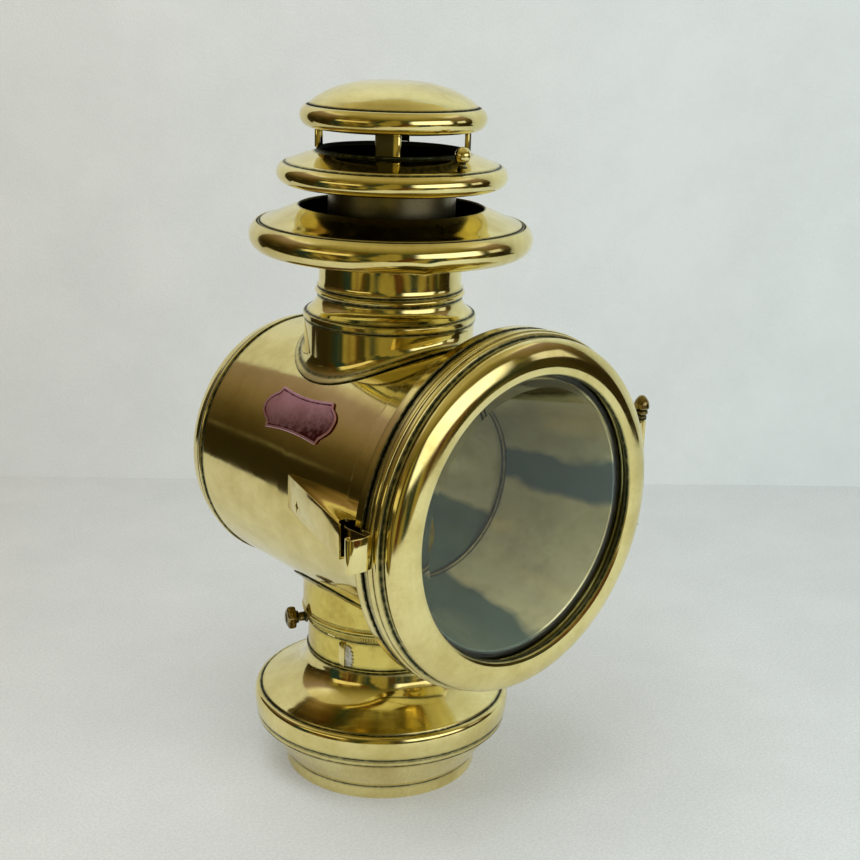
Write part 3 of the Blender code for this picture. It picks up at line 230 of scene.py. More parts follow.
def ring_of(name, points):
    """A closed ring of edges, from a circle with as many corners as there are points."""
    bpy.ops.object.select_all(action="DESELECT")
    bpy.ops.mesh.primitive_circle_add(vertices=len(points), radius=MM)
    obj = bpy.context.object
    obj.name = obj.data.name = name
    for vertex, point in zip(obj.data.vertices, points):
        vertex.co = point
    return obj


def place_on(axis, across, along):
    return axis.origin + (axis.across * across + axis.along * along) * MM


def with_edge_rings(points, near=(0.8, 2.0)):
    """Adds points close to both ends of each long wall, so that dirty, sooty and painted shade marks at a
    corner stay there.
    """
    made = []
    for a, b in zip(points, [*points[1:], points[0]]):
        a, b = Vector(a), Vector(b)
        made.append(tuple(a))
        length = (b - a).length
        steps = [step for step in near if step < length * 0.45 and (a.x or b.x)]
        made += [tuple(a.lerp(b, step / length)) for step in steps]
        made += [tuple(b.lerp(a, step / length)) for step in steps[::-1]]
    return made


def turned(name, outline, axis=FLUE_AXIS, steps=None):
    """An outline in mm, turned about the axis. It is left open where it meets the axis."""
    steps = steps or bpy.context.scene.lamp_shape.big_steps
    points = with_edge_rings(rounded(outline))
    obj = ring_of(name, [place_on(axis, *point) for point in points])
    if points[0][0] == 0 and points[-1][0] == 0:
        edit(obj, "DESELECT")
        leave()
        obj.data.vertices[0].select = obj.data.vertices[-1].select = True
        bpy.ops.object.mode_set(mode="EDIT")
        bpy.ops.mesh.delete(type="EDGE")
        leave()
    edit(obj)
    bpy.ops.mesh.spin(steps=steps, angle=tau, center=axis.origin, axis=axis.along)
    bpy.ops.mesh.select_all(action="SELECT")
    bpy.ops.mesh.remove_doubles(threshold=0.000002)
    bpy.ops.mesh.normals_make_consistent(inside=False)
    leave()
    smooth(obj)
    return obj


def raised(name, points, lift):
    """A ring filled and raised by the lift in metres. It is left in edit mode, with its top selected."""
    obj = ring_of(name, points)
    edit(obj)
    bpy.ops.mesh.edge_face_add()
    bpy.ops.mesh.extrude_region_move(TRANSFORM_OT_translate={"value": lift})
    return obj


def prism(name, outline, place, low, high):
    """A flat outline in mm raised from low to high along the place's Z."""
    points = [place @ (Vector((*point, low)) * MM) for point in rounded(outline)]
    obj = raised(name, points, place.to_3x3() @ Vector((0, 0, (high - low) * MM)))
    bpy.ops.mesh.select_all(action="SELECT")
    bpy.ops.mesh.normals_make_consistent(inside=False)
    leave()
    return obj


def block(name, low, high, place=Matrix()):
    """A box between two corners in mm."""
    outline = [(low[0], low[1]), (high[0], low[1]), (high[0], high[1]), (low[0], high[1])]
    return prism(name, outline, place, low[2], high[2])


def rod(name, radius, place, low, high, steps=64):
    return prism(name, arc((0, 0), radius, 0, 360 - 360 / steps, steps - 1), place, low, high)


def apply_modifier(obj, kind, **settings):
    select_only(obj)
    bpy.ops.object.modifier_add(type=kind)
    modifier = obj.modifiers[-1]
    for name, value in settings.items():
        setattr(modifier, name, value)
    bpy.ops.object.modifier_apply(modifier=modifier.name)


def cut(obj, tool):
    apply_modifier(obj, "BOOLEAN", object=tool, operation="DIFFERENCE", solver="EXACT")
    bpy.data.objects.remove(tool)


def soften(obj, width, angle=35):
    """Takes the sharpness off the edges."""
    limit = {"limit_method": "ANGLE", "angle_limit": radians(angle)}
    apply_modifier(obj, "BEVEL", width=width * MM, segments=2, **limit)
    smooth(obj, 40)


def radius_and_reach(axis, point):
    offset = (point - axis.origin) / MM
    along = offset.dot(axis.along)
    return (offset - axis.along * along).length, along


def keep_values(obj, name, values):
    """Keeps one value a vertex, which the finishes read by its name."""
    obj.data.attributes.new(name, "FLOAT", "POINT").data.foreach_set("value", values)


def paint(obj, axis, name, value):
    """Keeps a value from 0 to 1 at each vertex, from a function of (across, along) in mm."""
    known = {}
    values = []
    for vertex in obj.data.vertices:
        place = tuple(round(size, 2) for size in radius_and_reach(axis, vertex.co))
        if place not in known:
            known[place] = value(*place)
        values.append(known[place])
    keep_values(obj, name, values)


def stain(obj, axis, places):
    """Dirt near these turned grooves: (across, along, reach) in mm."""
    def dirt_and_shade(across, along):
        return max(exp(-((across - a) ** 2 + (along - b) ** 2) / reach ** 2) for a, b, reach in places)
    paint(obj, axis, "grime_and_shade", dirt_and_shade)


def soot_and_shade_inside(obj, axis, outside):
    """Soot, and painted shade, on all that isn't within half a sheet of the outside run."""
    run = [Vector(point[:2]) for point in outside]

    def distance(place, a, b):
        foot, share = intersect_point_line(place, a, b)
        return (place - (foot if 0 <= share <= 1 else a)).length

    def soot_and_shade(across, along):
        place = Vector((across, along))
        return float(min(distance(place, a, b) for a, b in zip(run, run[1:])) > SHEET * 0.5)
    paint(obj, axis, "soot_and_shade", soot_and_shade)


def dull_underside(obj, floor, reach):
    """Blurs what the flat underside mirrors, out to this radius."""
    paint(obj, FLUE_AXIS, "dull", lambda across, along: float(along < floor + 0.6 and across < reach))


def dress(obj, material):
    obj.data.materials.clear()
    obj.data.materials.append(finish_named(material))


def finish(obj, material, slot, body, *nodes):
    dress(obj, material)
    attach(obj, body)
    if nodes:
        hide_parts(*nodes)


# Finishes

def add(tree, kind, inputs=None, **settings):
    """Adds a node with its settings. An input is a value or the socket that feeds it."""
    node = tree.nodes.new(kind)
    for name, value in settings.items():
        setattr(node, name, value)
    for name, value in (inputs or {}).items():
        if isinstance(value, bpy.types.NodeSocket):
            tree.links.new(value, node.inputs[name])
        else:
            node.inputs[name].default_value = value
    return node


def maths(tree, operation, *values, **settings):
    return add(tree, "ShaderNodeMath", dict(enumerate(values)), operation=operation, **settings).outputs[0]


def vector_maths(tree, operation, *vectors):
    return add(tree, "ShaderNodeVectorMath", dict(enumerate(vectors)), operation=operation).outputs


def new_finish(name):
    material = bpy.data.materials.new(name)
    material.use_nodes = True
    material.node_tree.nodes.clear()
    return material, material.node_tree


def surface(tree, shader):
    add(tree, "ShaderNodeOutputMaterial", {"Surface": shader.outputs[0]})


def painted(tree, name):
    """The values that keep_values() has kept under this name."""
    return add(tree, "ShaderNodeAttribute", attribute_name=name).outputs["Fac"]


def surface_place(tree, axis):
    """Object coordinates in metres with the turning axis on Z, and the distance from it."""
    coordinates = add(tree, "ShaderNodeTexCoord")
    turn, shift = (0, 0, 0), (0, 0, 0)
    if axis == "drum":
        turn, shift = (-pi / 2, 0, 0), (0, -DRUM_Z * MM, 0)
    place = add(tree, "ShaderNodeMapping", {
        "Vector": coordinates.outputs["Object"], "Location": shift, "Rotation": turn,
    }).outputs[0]
    flat = vector_maths(tree, "MULTIPLY", place, (1, 1, 0))[0]
    radius = vector_maths(tree, "LENGTH", flat)["Value"]
    height = add(tree, "ShaderNodeSeparateXYZ", {0: place}).outputs["Z"]
    rings = add(tree, "ShaderNodeCombineXYZ", {"X": radius, "Y": height}).outputs[0]
    return place, rings


def ranged(tree, value, low, high, **settings):
    """The value with low to high spread over 0 to 1."""
    inputs = {"Value": value, "From Min": low, "From Max": high}
    return add(tree, "ShaderNodeMapRange", inputs, **settings).outputs[0]


def noise(tree, vector, size_mm, detail=3, roughness=0.5, low=0.35, high=0.65):
    """Noise whose cells are about this many mm, spread over 0 to 1."""
    made = add(tree, "ShaderNodeTexNoise", {
        "Vector": vector, "Scale": 1 / (size_mm * MM), "Detail": detail, "Roughness": roughness,
    })
    return ranged(tree, made.outputs["Fac"], low, high)


def dot(tree, vector, direction):
    return vector_maths(tree, "DOT_PRODUCT", vector, direction)["Value"]


def bump(tree, height, distance, strength=1.0, under=None):
    """The normal of a relief whose full height is the distance in metres, laid over another bump."""
    inputs = {"Height": height, "Distance": distance, "Strength": strength}
    if under is not None:
        inputs["Normal"] = under
    return add(tree, "ShaderNodeBump", inputs).outputs[0]


def scaled(tree, value, factor, offset=0.0):
    return maths(tree, "MULTIPLY_ADD", value, factor, offset)


def times(tree, value, other):
    return maths(tree, "MULTIPLY", value, other, use_clamp=True)


def plus(tree, value, other):
    return maths(tree, "ADD", value, other)


def blended(tree, factor, first, second):
    node = add(tree, "ShaderNodeMix", {0: factor}, data_type="RGBA")
    for index, colour in ((6, first), (7, second)):
        if isinstance(colour, bpy.types.NodeSocket):
            tree.links.new(colour, node.inputs[index])
        else:
            node.inputs[index].default_value = (*colour, 1)
    return node.outputs[2]


def gradient(tree, value, stops):
    """A colour for the value, from stops of (position, hex colour)."""
    ramp = add(tree, "ShaderNodeValToRGB", {0: value})
    elements = ramp.color_ramp.elements
    for element, (position, code) in zip(elements, (stops[0], stops[-1])):
        element.position, element.color = position, (*linear(code), 1)
    for position, code in stops[1:-1]:
        elements.new(position).color = (*linear(code), 1)
    return ramp.outputs[0]


def metal(name, axis, clean, aged, dirt_and_shade, roughness, patch, wave, tarnish=0.65):
    """Sheet metal, turned and hand polished: slow waves, fine turning lines, aged patches, dirty grooves, and
    sooty places with painted shade.
    """
    material, tree = new_finish(name)
    place, rings = surface_place(tree, axis)
    patches = noise(tree, place, patch, 5, 0.62, 0.42, 0.72)
    spots = noise(tree, place, 2.5, 4, 0.6, 0.55, 0.75)
    lines = noise(tree, rings, 0.7, 2, 0.5)
    grime_and_shade = painted(tree, "grime_and_shade")
    uneven = scaled(tree, noise(tree, place, 3.0, 3, 0.6), 0.5, 0.9)
    grime_and_shade = times(tree, grime_and_shade, uneven)
    # Lamp black with painted shade, nearly black and rough: insides of hollows, the door ring's inner side
    # and the posts' faces.
    soot_and_shade = painted(tree, "soot_and_shade")
    dull = painted(tree, "dull")
    worn = times(tree, plus(tree, scaled(tree, patches, tarnish), scaled(tree, spots, 0.18)), 1.0)
    colour = blended(tree, worn, clean, aged)
    colour = blended(tree, grime_and_shade, colour, dirt_and_shade)
    colour = blended(tree, soot_and_shade, colour, linear("#303226"))
    rough = scaled(tree, patches, 0.07, roughness)
    for value, share in ((spots, 0.05), (lines, 0.03), (grime_and_shade, 0.35), (soot_and_shade, 0.3), (dull, 0.5)):
        rough = plus(tree, rough, scaled(tree, value, share))
    slow = noise(tree, place, 22, 2, 0.45, 0.2, 0.8)
    swell = bump(tree, slow, wave * MM)
    scored = bump(tree, lines, 0.0015 * MM, under=swell)
    shader = add(tree, "ShaderNodeBsdfPrincipled", {
        "Base Color": colour, "Metallic": 1.0, "Roughness": rough, "Normal": scored,
    })
    surface(tree, shader)
    return material


def polished_brass(name, axis):
    """Yellow brass, polished and lacquer-free: warm yellow mirror, olive-brown where it has aged."""
    look = bpy.context.scene.lamp_finish
    return metal(name, axis, look.brass, look.aged_brass, look.dirt_and_shade, look.brass_roughness, 30, look.waviness)


def lacquered_brass(name):
    """Brass under old lacquer that has yellowed and browned in patches."""
    look = bpy.context.scene.lamp_finish
    return metal(name, "flue", linear("#E4D272"), linear("#A4842C"), look.dirt_and_shade, 0.08, 16, look.waviness)


def unpolished_brass(name):
    """Brass that is never polished: browner, and rough enough to blur what it mirrors."""
    look = bpy.context.scene.lamp_finish
    return metal(name, "flue", linear("#A08F60"), linear("#54472A"), look.dirt_and_shade, 0.16, 5, 0.02)


def smoked_brass(name):
    """Brass under the vents, coated by lamp smoke: nearly black and dull."""
    look = bpy.context.scene.lamp_finish
    return metal(name, "flue", linear("#8A846A"), linear("#46432F"), look.dirt_and_shade, 0.3, 14, 0.02)


def worn_silver_plate(name, turn=0.0):
    """Silver plate on brass, worn and warm grey. Its sectors are partly stains and partly a painted
    reflection of the room it mirrors.
    """
    look = bpy.context.scene.lamp_finish
    material = metal(name, "drum", look.silver, linear("#A39E7C"), linear("#3A3A2E"), 0.12, 18, 0.02, 0.4)
    tree = material.node_tree
    place = surface_place(tree, "drum")[0]
    place = add(tree, "ShaderNodeMapping", {"Vector": place, "Rotation": (0, 0, radians(turn))}).outputs[0]
    angle = add(tree, "ShaderNodeTexGradient", {"Vector": place}, gradient_type="RADIAL").outputs["Fac"]
    angle = plus(tree, angle, scaled(tree, noise(tree, place, 30, 3), 0.016, -0.008))
    # Painted reflection: cream, blue-grey and brown sectors round the axis stand in for the room that the
    # silver mirrors, with some stains.
    painted_room_sectors = gradient(tree, angle, (
        (0.0, "#788A8A"), (0.278, "#748686"), (0.290, "#FFF0D4"), (0.472, "#F6E6C4"), (0.482, "#667C86"),
        (0.528, "#6C8086"), (0.538, "#EEE2C4"), (0.6, "#CCBC90"), (0.64, "#F8ECCC"), (0.655, "#7C6C48"),
        (0.70, "#54482A"), (0.745, "#ECD694"), (0.765, "#54482A"), (0.82, "#5C5236"), (1.0, "#728480")))
    shader = next(node for node in tree.nodes if node.type == "BSDF_PRINCIPLED")
    clean = shader.inputs["Base Color"].links[0].from_socket
    tinted = add(tree, "ShaderNodeMix", {0: 1.0}, data_type="RGBA", blend_type="MULTIPLY")
    tree.links.new(clean, tinted.inputs[6])
    tree.links.new(painted_room_sectors, tinted.inputs[7])
    tree.links.new(tinted.outputs[2], shader.inputs["Base Color"])
    shader.inputs["Metallic"].default_value = 0.42
    return material


def oxidised_copper(name):
    """Stamped copper with a purple oxide film."""
    # Its groove colour also paints the shade on the badge.
    return metal(name, "drum", linear("#F4C4E2"), linear("#C98AA0"), linear("#5E2428"), 0.3, 14, 0.01)


def soft_solder(name):
    """Soft solder: grey, lumpy and half bright."""
    return metal(name, "flue", linear("#E4E4DC"), linear("#A8A69A"), linear("#2E2B24"), 0.42, 2.5, 0.05)


def bevelled_soda_glass(name):
    """Clear soda glass, faintly green. Its low index keeps the floor's glare from veiling the silver."""
    material, tree = new_finish(name)
    shader = add(tree, "ShaderNodeBsdfPrincipled", {
        "Base Color": (*linear("#F2F8F4"), 1), "Roughness": 0.0, "IOR": 1.33, "Transmission Weight": 1.0,
    })
    clear = add(tree, "ShaderNodeBsdfTransparent", {"Color": (*linear("#EAF2EC"), 1)})
    shadow = add(tree, "ShaderNodeLightPath").outputs["Is Shadow Ray"]
    surface(tree, add(tree, "ShaderNodeMixShader", {0: shadow, 1: shader.outputs[0], 2: clear.outputs[0]}))
    return material


def woven_cotton(name):
    """Flat woven cotton, cream and brown, and charred at its top edge. Thread spacing is 0.8 mm."""
    material, tree = new_finish(name)
    coordinates = add(tree, "ShaderNodeTexCoord")
    place = add(tree, "ShaderNodeMapping", {
        "Vector": coordinates.outputs["Object"], "Rotation": (0, 0, -WINDER_ANGLE),
    }).outputs[0]
    across, along = [add(tree, "ShaderNodeTexWave", {
        "Vector": place, "Scale": 0.5 / (0.8 * MM), "Distortion": 0.4, "Detail": 1.0,
    }, bands_direction=direction).outputs["Fac"] for direction in "XZ"]
    weave = times(tree, across, along)
    height = add(tree, "ShaderNodeSeparateXYZ", {0: place}).outputs["Z"]
    top = heights("wick")[1] * MM
    char = ranged(tree, height, top - 0.004, top - 0.001)
    colour = blended(tree, weave, linear("#8F7F60"), linear("#CFC3A2"))
    colour = blended(tree, char, colour, linear("#17130F"))
    shader = add(tree, "ShaderNodeBsdfPrincipled", {
        "Base Color": colour, "Roughness": 0.9, "Sheen Weight": 0.2, "Normal": bump(tree, weave, 0.0003, 0.8),
    })
    surface(tree, shader)
    return material


FINISHES = {
    "polished_brass_upright": lambda name: polished_brass(name, "flue"),
    "polished_brass_drum": lambda name: polished_brass(name, "drum"),
    "lacquered_brass": lacquered_brass,
    "unpolished_brass": unpolished_brass,
    "smoked_brass": smoked_brass,
    "worn_silver_plate": worn_silver_plate,
    # The bowl's painted reflection is turned by -48 degrees.
    "worn_silver_bowl": lambda name: worn_silver_plate(name, -48),
    "oxidised_copper": oxidised_copper,
    "soft_solder": soft_solder,
    "bevelled_soda_glass": bevelled_soda_glass,
    "woven_cotton": woven_cotton,
}


def finish_named(name):
    return bpy.data.materials.get(name) or FINISHES[name](name)


# Shapes shared by pieces

def drum_radius(reach):
    """The drum's outer radius in mm at this reach, along its slight taper."""
    return DRUM_WAIST + (reach * 3.2 / DRUM_REAR if reach < 0 else reach * 0.9 / DRUM_FRONT)


def rim_run(offset):
    """The front rim's outer side from its sleeve to its front edge, grown by the offset."""
    flare = curve([(74.5, 65.9), (76.2, 70.9), (81.2, 76.2), (87.6, 80.5), (91.3, 82.5)])
    run = inset([(74.5, 56), (74.5, 61), *flare], offset) if offset else [(74.5, 56), *flare]
    return [*run, (91.3 + offset, 87.6)]


def envelope(name, offset):
    """The drum and its front rim as one solid, for fitting what lies on them."""
    run = rim_run(offset)
    outline = [(0, -DRUM_REAR), (drum_radius(-DRUM_REAR) + offset, -DRUM_REAR), (DRUM_WAIST + offset, 0)]
    outline += [(drum_radius(55) + offset, 55), *run, (0, run[-1][1])]
    return turned(name, outline, DRUM_AXIS, DRUM_STEPS)


# Operators

class LampPiece:
    bl_options = {"REGISTER", "UNDO"}

    def execute(self, context):
        self.make(context)
        return {"FINISHED"}


class LAMP_OT_drum(LampPiece, bpy.types.Operator):
    """The tapered drum, its domed rear cover and its flared front rim"""
    bl_idname = "lamp.drum"
    bl_label = "Drum"

    def make(self, context):
        drum = turned("drum_body", [
            (69.1, -DRUM_REAR, 0.2), (DRUM_WAIST, 0), (73.2, DRUM_FRONT, 0.2), (72.2, DRUM_FRONT, 0.2),
            (DRUM_WAIST - SHEET, 0), (68.1, -DRUM_REAR, 0.2),
        ], DRUM_AXIS, DRUM_STEPS)
        cut(drum, rod("flue_hole", 40.5, DRUM_CENTRE, 0, 90, 128))
        cut(drum, rod("font_hole", 38.5, DRUM_CENTRE, -90, 0, 128))
        smooth(drum)
        stain(drum, DRUM_AXIS, [(69.2, -DRUM_REAR, 1.0)])
        finish(drum, "polished_brass_drum", "polished_brass", "lamp", "drum_shell")

        end = -box_mm("rear_cover")[1].y
        dome = curve([
            (68.9, -77), (68.6, -78.9), (67.5, -82.2), (65.4, -85.1), (61.3, -87.5), (51.7, -89.5),
            (29.7, end + 0.45), (10, end + 0.1), (0, end),
        ])
        inner = curve([
            (0, end + 1), (10, end + 1.1), (29.5, end + 1.45), (51.3, -88.5), (60.6, -86.6), (64.5, -84.5),
            (66.5, -81.9), (67.2, -79),
        ])
        cover = turned("rear_dome", [
            *dome[::-1], (69.1, -75.6, 0.3), *arc((68.4, -73.8), 1.5, -50, 88, 12), (67.8, -72.2),
            (67.8, -68, 0.2), (66.8, -68, 0.2), (66.8, -76), *inner[::-1],
        ], DRUM_AXIS, DRUM_STEPS)
        stain(cover, DRUM_AXIS, [(69.3, -72.2, 0.9), (69.1, -75.6, 0.8)])
        finish(cover, "polished_brass_drum", "polished_brass", "lamp", "rear_cover")

        run = rim_run(0)
        inner = [(73.5, 56, 0.2), (73.5, 66.3)]
        inner += curve([(73.5, 66.3), (75.3, 71.7), (80.4, 77.1), (86.9, 81.5), (90.1, 83.3)])[1:]
        rim = turned("front_flare", [
            (74.5, 56, 0.3), *run[1:-1], (91.3, 87.6, 0.4), (82, 87.6, 0.3), (82, 86.4, 0.3),
            (90.1, 86.4, 0.3), *inner[::-1],
        ], DRUM_AXIS, DRUM_STEPS)
        stain(rim, DRUM_AXIS, [(91.4, 87.8, 1.0), (75.2, 67.5, 2.0), (90.6, 82.3, 0.8)])
        finish(rim, "polished_brass_drum", "polished_brass", "lamp", "front_rim")


class LAMP_OT_collars(LampPiece, bpy.types.Operator):
    """The two collars that stand on the drum with saddle flanges"""
    bl_idname = "lamp.collars"
    bl_label = "Collars"

    def make(self, context):
        self.collar("upper_tube", 1, [(44, COLLAR_TOP, 0.3), (43, COLLAR_TOP, 0.3)], "upper_collar")
        foot = COLLAR_FOOT
        lip = [(44, foot + 5), (44, foot + 3.3, 0.2), (44.6, foot + 2.9, 0.3), (44.6, foot + 1.9, 0.3),
               (44, foot + 1.5, 0.2), (44, foot, 0.3), (43, foot, 0.3)]
        self.collar("lower_tube", -1, lip, "lower_collar")

    def collar(self, name, side, end, node):
        """Heights under 30 are over the drum's skin, and the rest are true."""
        lift = 1 if side > 0 else 0.55
        fillet = curve([(47.6, 1.25), (46.3, 1.5), (45.1, 2.6 * lift), (44.3, 4.6 * lift), (44, 6.6 * lift)])
        outline = [(43, GAP), (49, GAP, 0.2), (49, 1.15, 0.35), *fillet, *end]
        obj = turned(name, rounded(outline))
        for vertex in obj.data.vertices:
            x, y, z = vertex.co / MM
            if z < 30:
                skin = sqrt(drum_radius(-y) ** 2 - x * x)
                vertex.co.z = (DRUM_Z + side * (skin + z)) * MM
        keep_values(obj, "grime_and_shade", [self.dirt_and_shade(side, *vertex.co / MM) for vertex in obj.data.vertices])
        face_outward(obj)
        smooth(obj)
        material = "polished_brass_upright" if side > 0 else "lacquered_brass"
        finish(obj, material, "polished_brass", "lamp", node)

    def dirt_and_shade(self, side, x, y, z):
        """Dirt under the flange's edge, in its fold and at the collar's far end."""
        radius = sqrt(x * x + y * y)
        rise = side * (z - DRUM_Z) - sqrt(max(drum_radius(-y) ** 2 - x * x, 0))
        near = exp(-(((radius - 49.2) ** 2 + (rise - 0.4) ** 2) / 0.9))
        fold = 0.7 * exp(-(((radius - 46.4) ** 2 + (rise - 1.6) ** 2) / 1.2))
        edge = 0.8 * exp(-((z - (COLLAR_TOP if side > 0 else COLLAR_FOOT + 1.4)) / 0.6) ** 2)
        return max(near, fold, edge)


class LAMP_OT_vent(LampPiece, bpy.types.Operator):
    """The waisted neck and the lower canopy"""
    bl_idname = "lamp.vent"
    bl_label = "Vent"

    def make(self, context):
        z = COLLAR_TOP + GAP
        run = [(42.7, z), (44.7, z, 0.5), (44.7, z + 3.2, 0.9), (43.6, z + 4.2, 0.3)]
        run += curve([(43.2, z + 4.0), (41.6, z + 5.2), (40, z + 6.6), (38.3, z + 9.0), (37.5, z + 11.4)])
        run += [(37.7, z + 12.4, 0.2), *arc((37.5, z + 14.3), 1.2, -75, 75, 8)]
        run += [(37.2, z + 16.6, 0.3), (37.9, z + 17.3, 0.3)]
        run += curve([
            (37.2, z + 18.2), (36.8, z + 20.5), (36.8, z + 28.5), (37.2, z + 30.6), (37.95, z + 32.3),
            (40.1, z + 35.8), (42.9, z + 37.3), (50, z + 37.7),
        ])
        outline = [*run, (56, PAN - 1, 0.3), (56, PAN, 0.3), (43, PAN)]
        outline += curve([
            (43, PAN), (40.2, PAN - 1.4), (37.6, PAN - 4.6), (35.8, PAN - 9), (35.8, PAN - 20),
            (36.4, PAN - 27), (38.4, PAN - 31.5), (41.2, PAN - 34),
        ])[1:]
        outline += [(41.7, z + 1), (41.7, z - 7.1, 0.2), (42.7, z - 7.1, 0.2)]
        neck = turned("waisted_neck", outline)
        stain(neck, FLUE_AXIS, [
            (44.7, z, 0.8), (43.6, z + 4.2, 1.0), (37.6, z + 12.5, 0.9), (37.2, z + 16.6, 0.9),
            (44, z + 37.5, 2.5),
        ])
        soot_and_shade_inside(neck, FLUE_AXIS, [*run, (56, PAN - 1)])
        finish(neck, "polished_brass_upright", "polished_brass", "lamp", "vent_neck")

        floor, lip = PAN + GAP, LOWER_LIP
        centre = (64.6, floor + 4)
        top = curve([(47.6, lip), (52, lip - 1.8), (58, lip - 4.4), (63, lip - 6.5), (66.4, lip - 7.7)])
        roll = arc(centre, 8, 58, -150, 40)
        canopy = turned("lower_cowl", [
            (47.2, lip - 0.3), *top, (67.0, lip - 8.6, 0.2), (67.7, lip - 8.35, 0.3), (68.2, lip - 9.35, 0.2),
            *roll, (50.3, floor, 0.3), (50.3, floor + 1, 0.3), (58.6, floor + 1),
            *arc(centre, 7, -140, 50, 24), (66, lip - 9), (47.2, lip - 1.2),
        ])
        stain(canopy, FLUE_AXIS, [
            (67.0, lip - 8.6, 0.8), (68.2, lip - 9.35, 0.8), (57.6, floor, 2.2), (47.2, lip, 0.7),
        ])
        soot_and_shade_inside(canopy, FLUE_AXIS, [(47.2, lip - 0.3), *top, *roll, (50.3, floor)])
        for vertex in canopy.data.vertices:
            self.dent(vertex, floor)
        finish(canopy, "polished_brass_upright", "polished_brass", "lamp", "lower_canopy")

    def dent(self, vertex, floor):
        """A small knock in the lower edge, towards the left front."""
        angle = atan2(vertex.co.y, vertex.co.x) % tau
        along = (angle - radians(243)) * 64.6
        if vertex.co.z / MM < floor + 3 and vertex.co.xy.length / MM > 58:
            vertex.co.z -= 0.8 * MM * exp(-(along / 4.5) ** 2)


class LAMP_OT_cowl(LampPiece, bpy.types.Operator):
    """The pieces that lift off: chimney tube, middle canopy, posts, cap and ball"""
    bl_idname = "lamp.cowl"
    bl_label = "Cowl"

    def make(self, context):
        low, high = heights("chimney_tube")
        bead = MIDDLE_FLOOR - GAP - 1.2
        tube = turned("smoke_tube", [
            (32.5, low, 0.2), (32.5, bead - 1.3, 0.2), *arc((32.5, bead), 1.2, -85, 85, 8),
            (32.5, bead + 1.3, 0.2), (32.5, high, 0.3), (31.5, high, 0.3), (31.5, low, 0.2),
        ])
        finish(tube, "smoked_brass", "sooty_brass", "cowl", "chimney_tube")

        floor, lip = MIDDLE_FLOOR, MIDDLE_LIP
        centre = (53.1, floor + 5.5)
        top = [(38.6, lip - 1.0), (39.6, lip - 1.7), (44, lip - 3.0), (49, lip - 4.8), (53.6, lip - 6.5)]
        top = curve(top)
        roll = arc(centre, 5.5, 60, -90, 30)
        middle = turned("middle_cowl", [
            (37.4, lip, 0.3), (38.4, lip, 0.4), *top, (54.4, lip - 7.4, 0.3), *roll,
            (32.8, floor, 0.3), (32.8, floor + 1, 0.3), *arc(centre, 4.5, -90, 50, 18),
            (53, lip - 7.4), (39, lip - 2.8), (37.4, lip - 2.2),
        ])
        stain(middle, FLUE_AXIS, [(54.4, lip - 7.4, 0.9), (37.6, lip, 1.5), (38.9, lip - 1.2, 1.2)])
        soot_and_shade_inside(middle, FLUE_AXIS, [(38.6, lip - 1.0), *top, *roll, (32.8, floor)])
        dull_underside(middle, floor, 51)
        finish(middle, "polished_brass_upright", "polished_brass", "cowl", "middle_canopy")

        floor, z = CAP_FLOOR, CAP_TOP
        centre = (41.3, floor + 5.8)
        dome = curve([
            (0, z), (10.5, z - 0.4), (19.5, z - 1.35), (30.3, z - 4.4), (38, z - 8.3), (42.2, z - 11.5),
        ])
        under = curve([
            (0, z - 1), (10.5, z - 1.4), (19.3, z - 2.4), (29.9, z - 5.4), (37.4, z - 9.2), (41, z - 12.2),
        ])
        roll = arc(centre, 5.8, 60, -90, 30)
        cap = turned("domed_cap", [
            *dome, (42.9, z - 12.6, 0.3), *roll, (33, floor, 0.3), (33, floor + 1, 0.3),
            *arc(centre, 4.8, -90, 50, 18), *under[::-1],
        ])
        stain(cap, FLUE_AXIS, [(42.9, z - 12.6, 0.9), (37, floor, 3)])
        soot_and_shade_inside(cap, FLUE_AXIS, [*dome, *roll, (33, floor)])
        dull_underside(cap, floor, 40)
        finish(cap, "polished_brass_upright", "polished_brass", "cowl", "top_cap")

        low, high = heights("cap_post_1")
        run = rounded([(36.1, -5.75), (38.6, -5.75, 1.1), (38.6, 5.75, 1.1), (36.1, 5.75)], 5)
        for i in range(4):
            place = Matrix.Rotation(tau * (i + 0.5) / 4, 4, "Z")
            post = prism(f"post_{i + 1}", strap(run, SHEET), place, low - 0.2, high + 0.2)
            soften(post, 0.15)
            edit(post)
            # Two rings of edges across the face, where the painted shade ends and the bright strip begins.
            shade_edges = [place @ Vector((0, across * MM, 0)) for across in (2.4, 3.2)]
            bisect_at(shade_edges, place @ Vector((0, 1, 0)))
            leave()
            smooth(post, 40)
            spots = [place.inverted() @ vertex.co / MM for vertex in post.data.vertices]
            # Painted shade and painted highlight: each post's outer face is darkened, except a strip along
            # one edge that is left bright.
            keep_values(post, "soot_and_shade", [0.9 * (spot.x > 38.4 and spot.y < 2.8) for spot in spots])
            finish(post, "polished_brass_upright", "sooty_brass", "cowl", f"cap_post_{i + 1}")

        low, high = box_mm("vent_knob")
        foot, centre = low.z, (low + high) / 2
        axis = standing_axis(centre.x, centre.y)
        ball = arc((0, foot + 6), 4, -62, 90, 20)
        knob = turned("vent_ball", [
            (0, foot - 0.2), (2.6, foot - 0.2, 0.3), (2.2, foot + 0.5, 0.4), (1.5, foot + 1.0, 0.3),
            (1.5, foot + 2.2, 0.2), *ball[:-1], (0, ball[-1][1]),
        ], axis, 64)
        stain(knob, axis, [(1.6, foot + 2.3, 1.2), (2.6, foot, 1.2)])
        finish(knob, "polished_brass_upright", "polished_brass", "cowl", "vent_knob")
        dress(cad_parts["cowl_spider"], "smoked_brass")


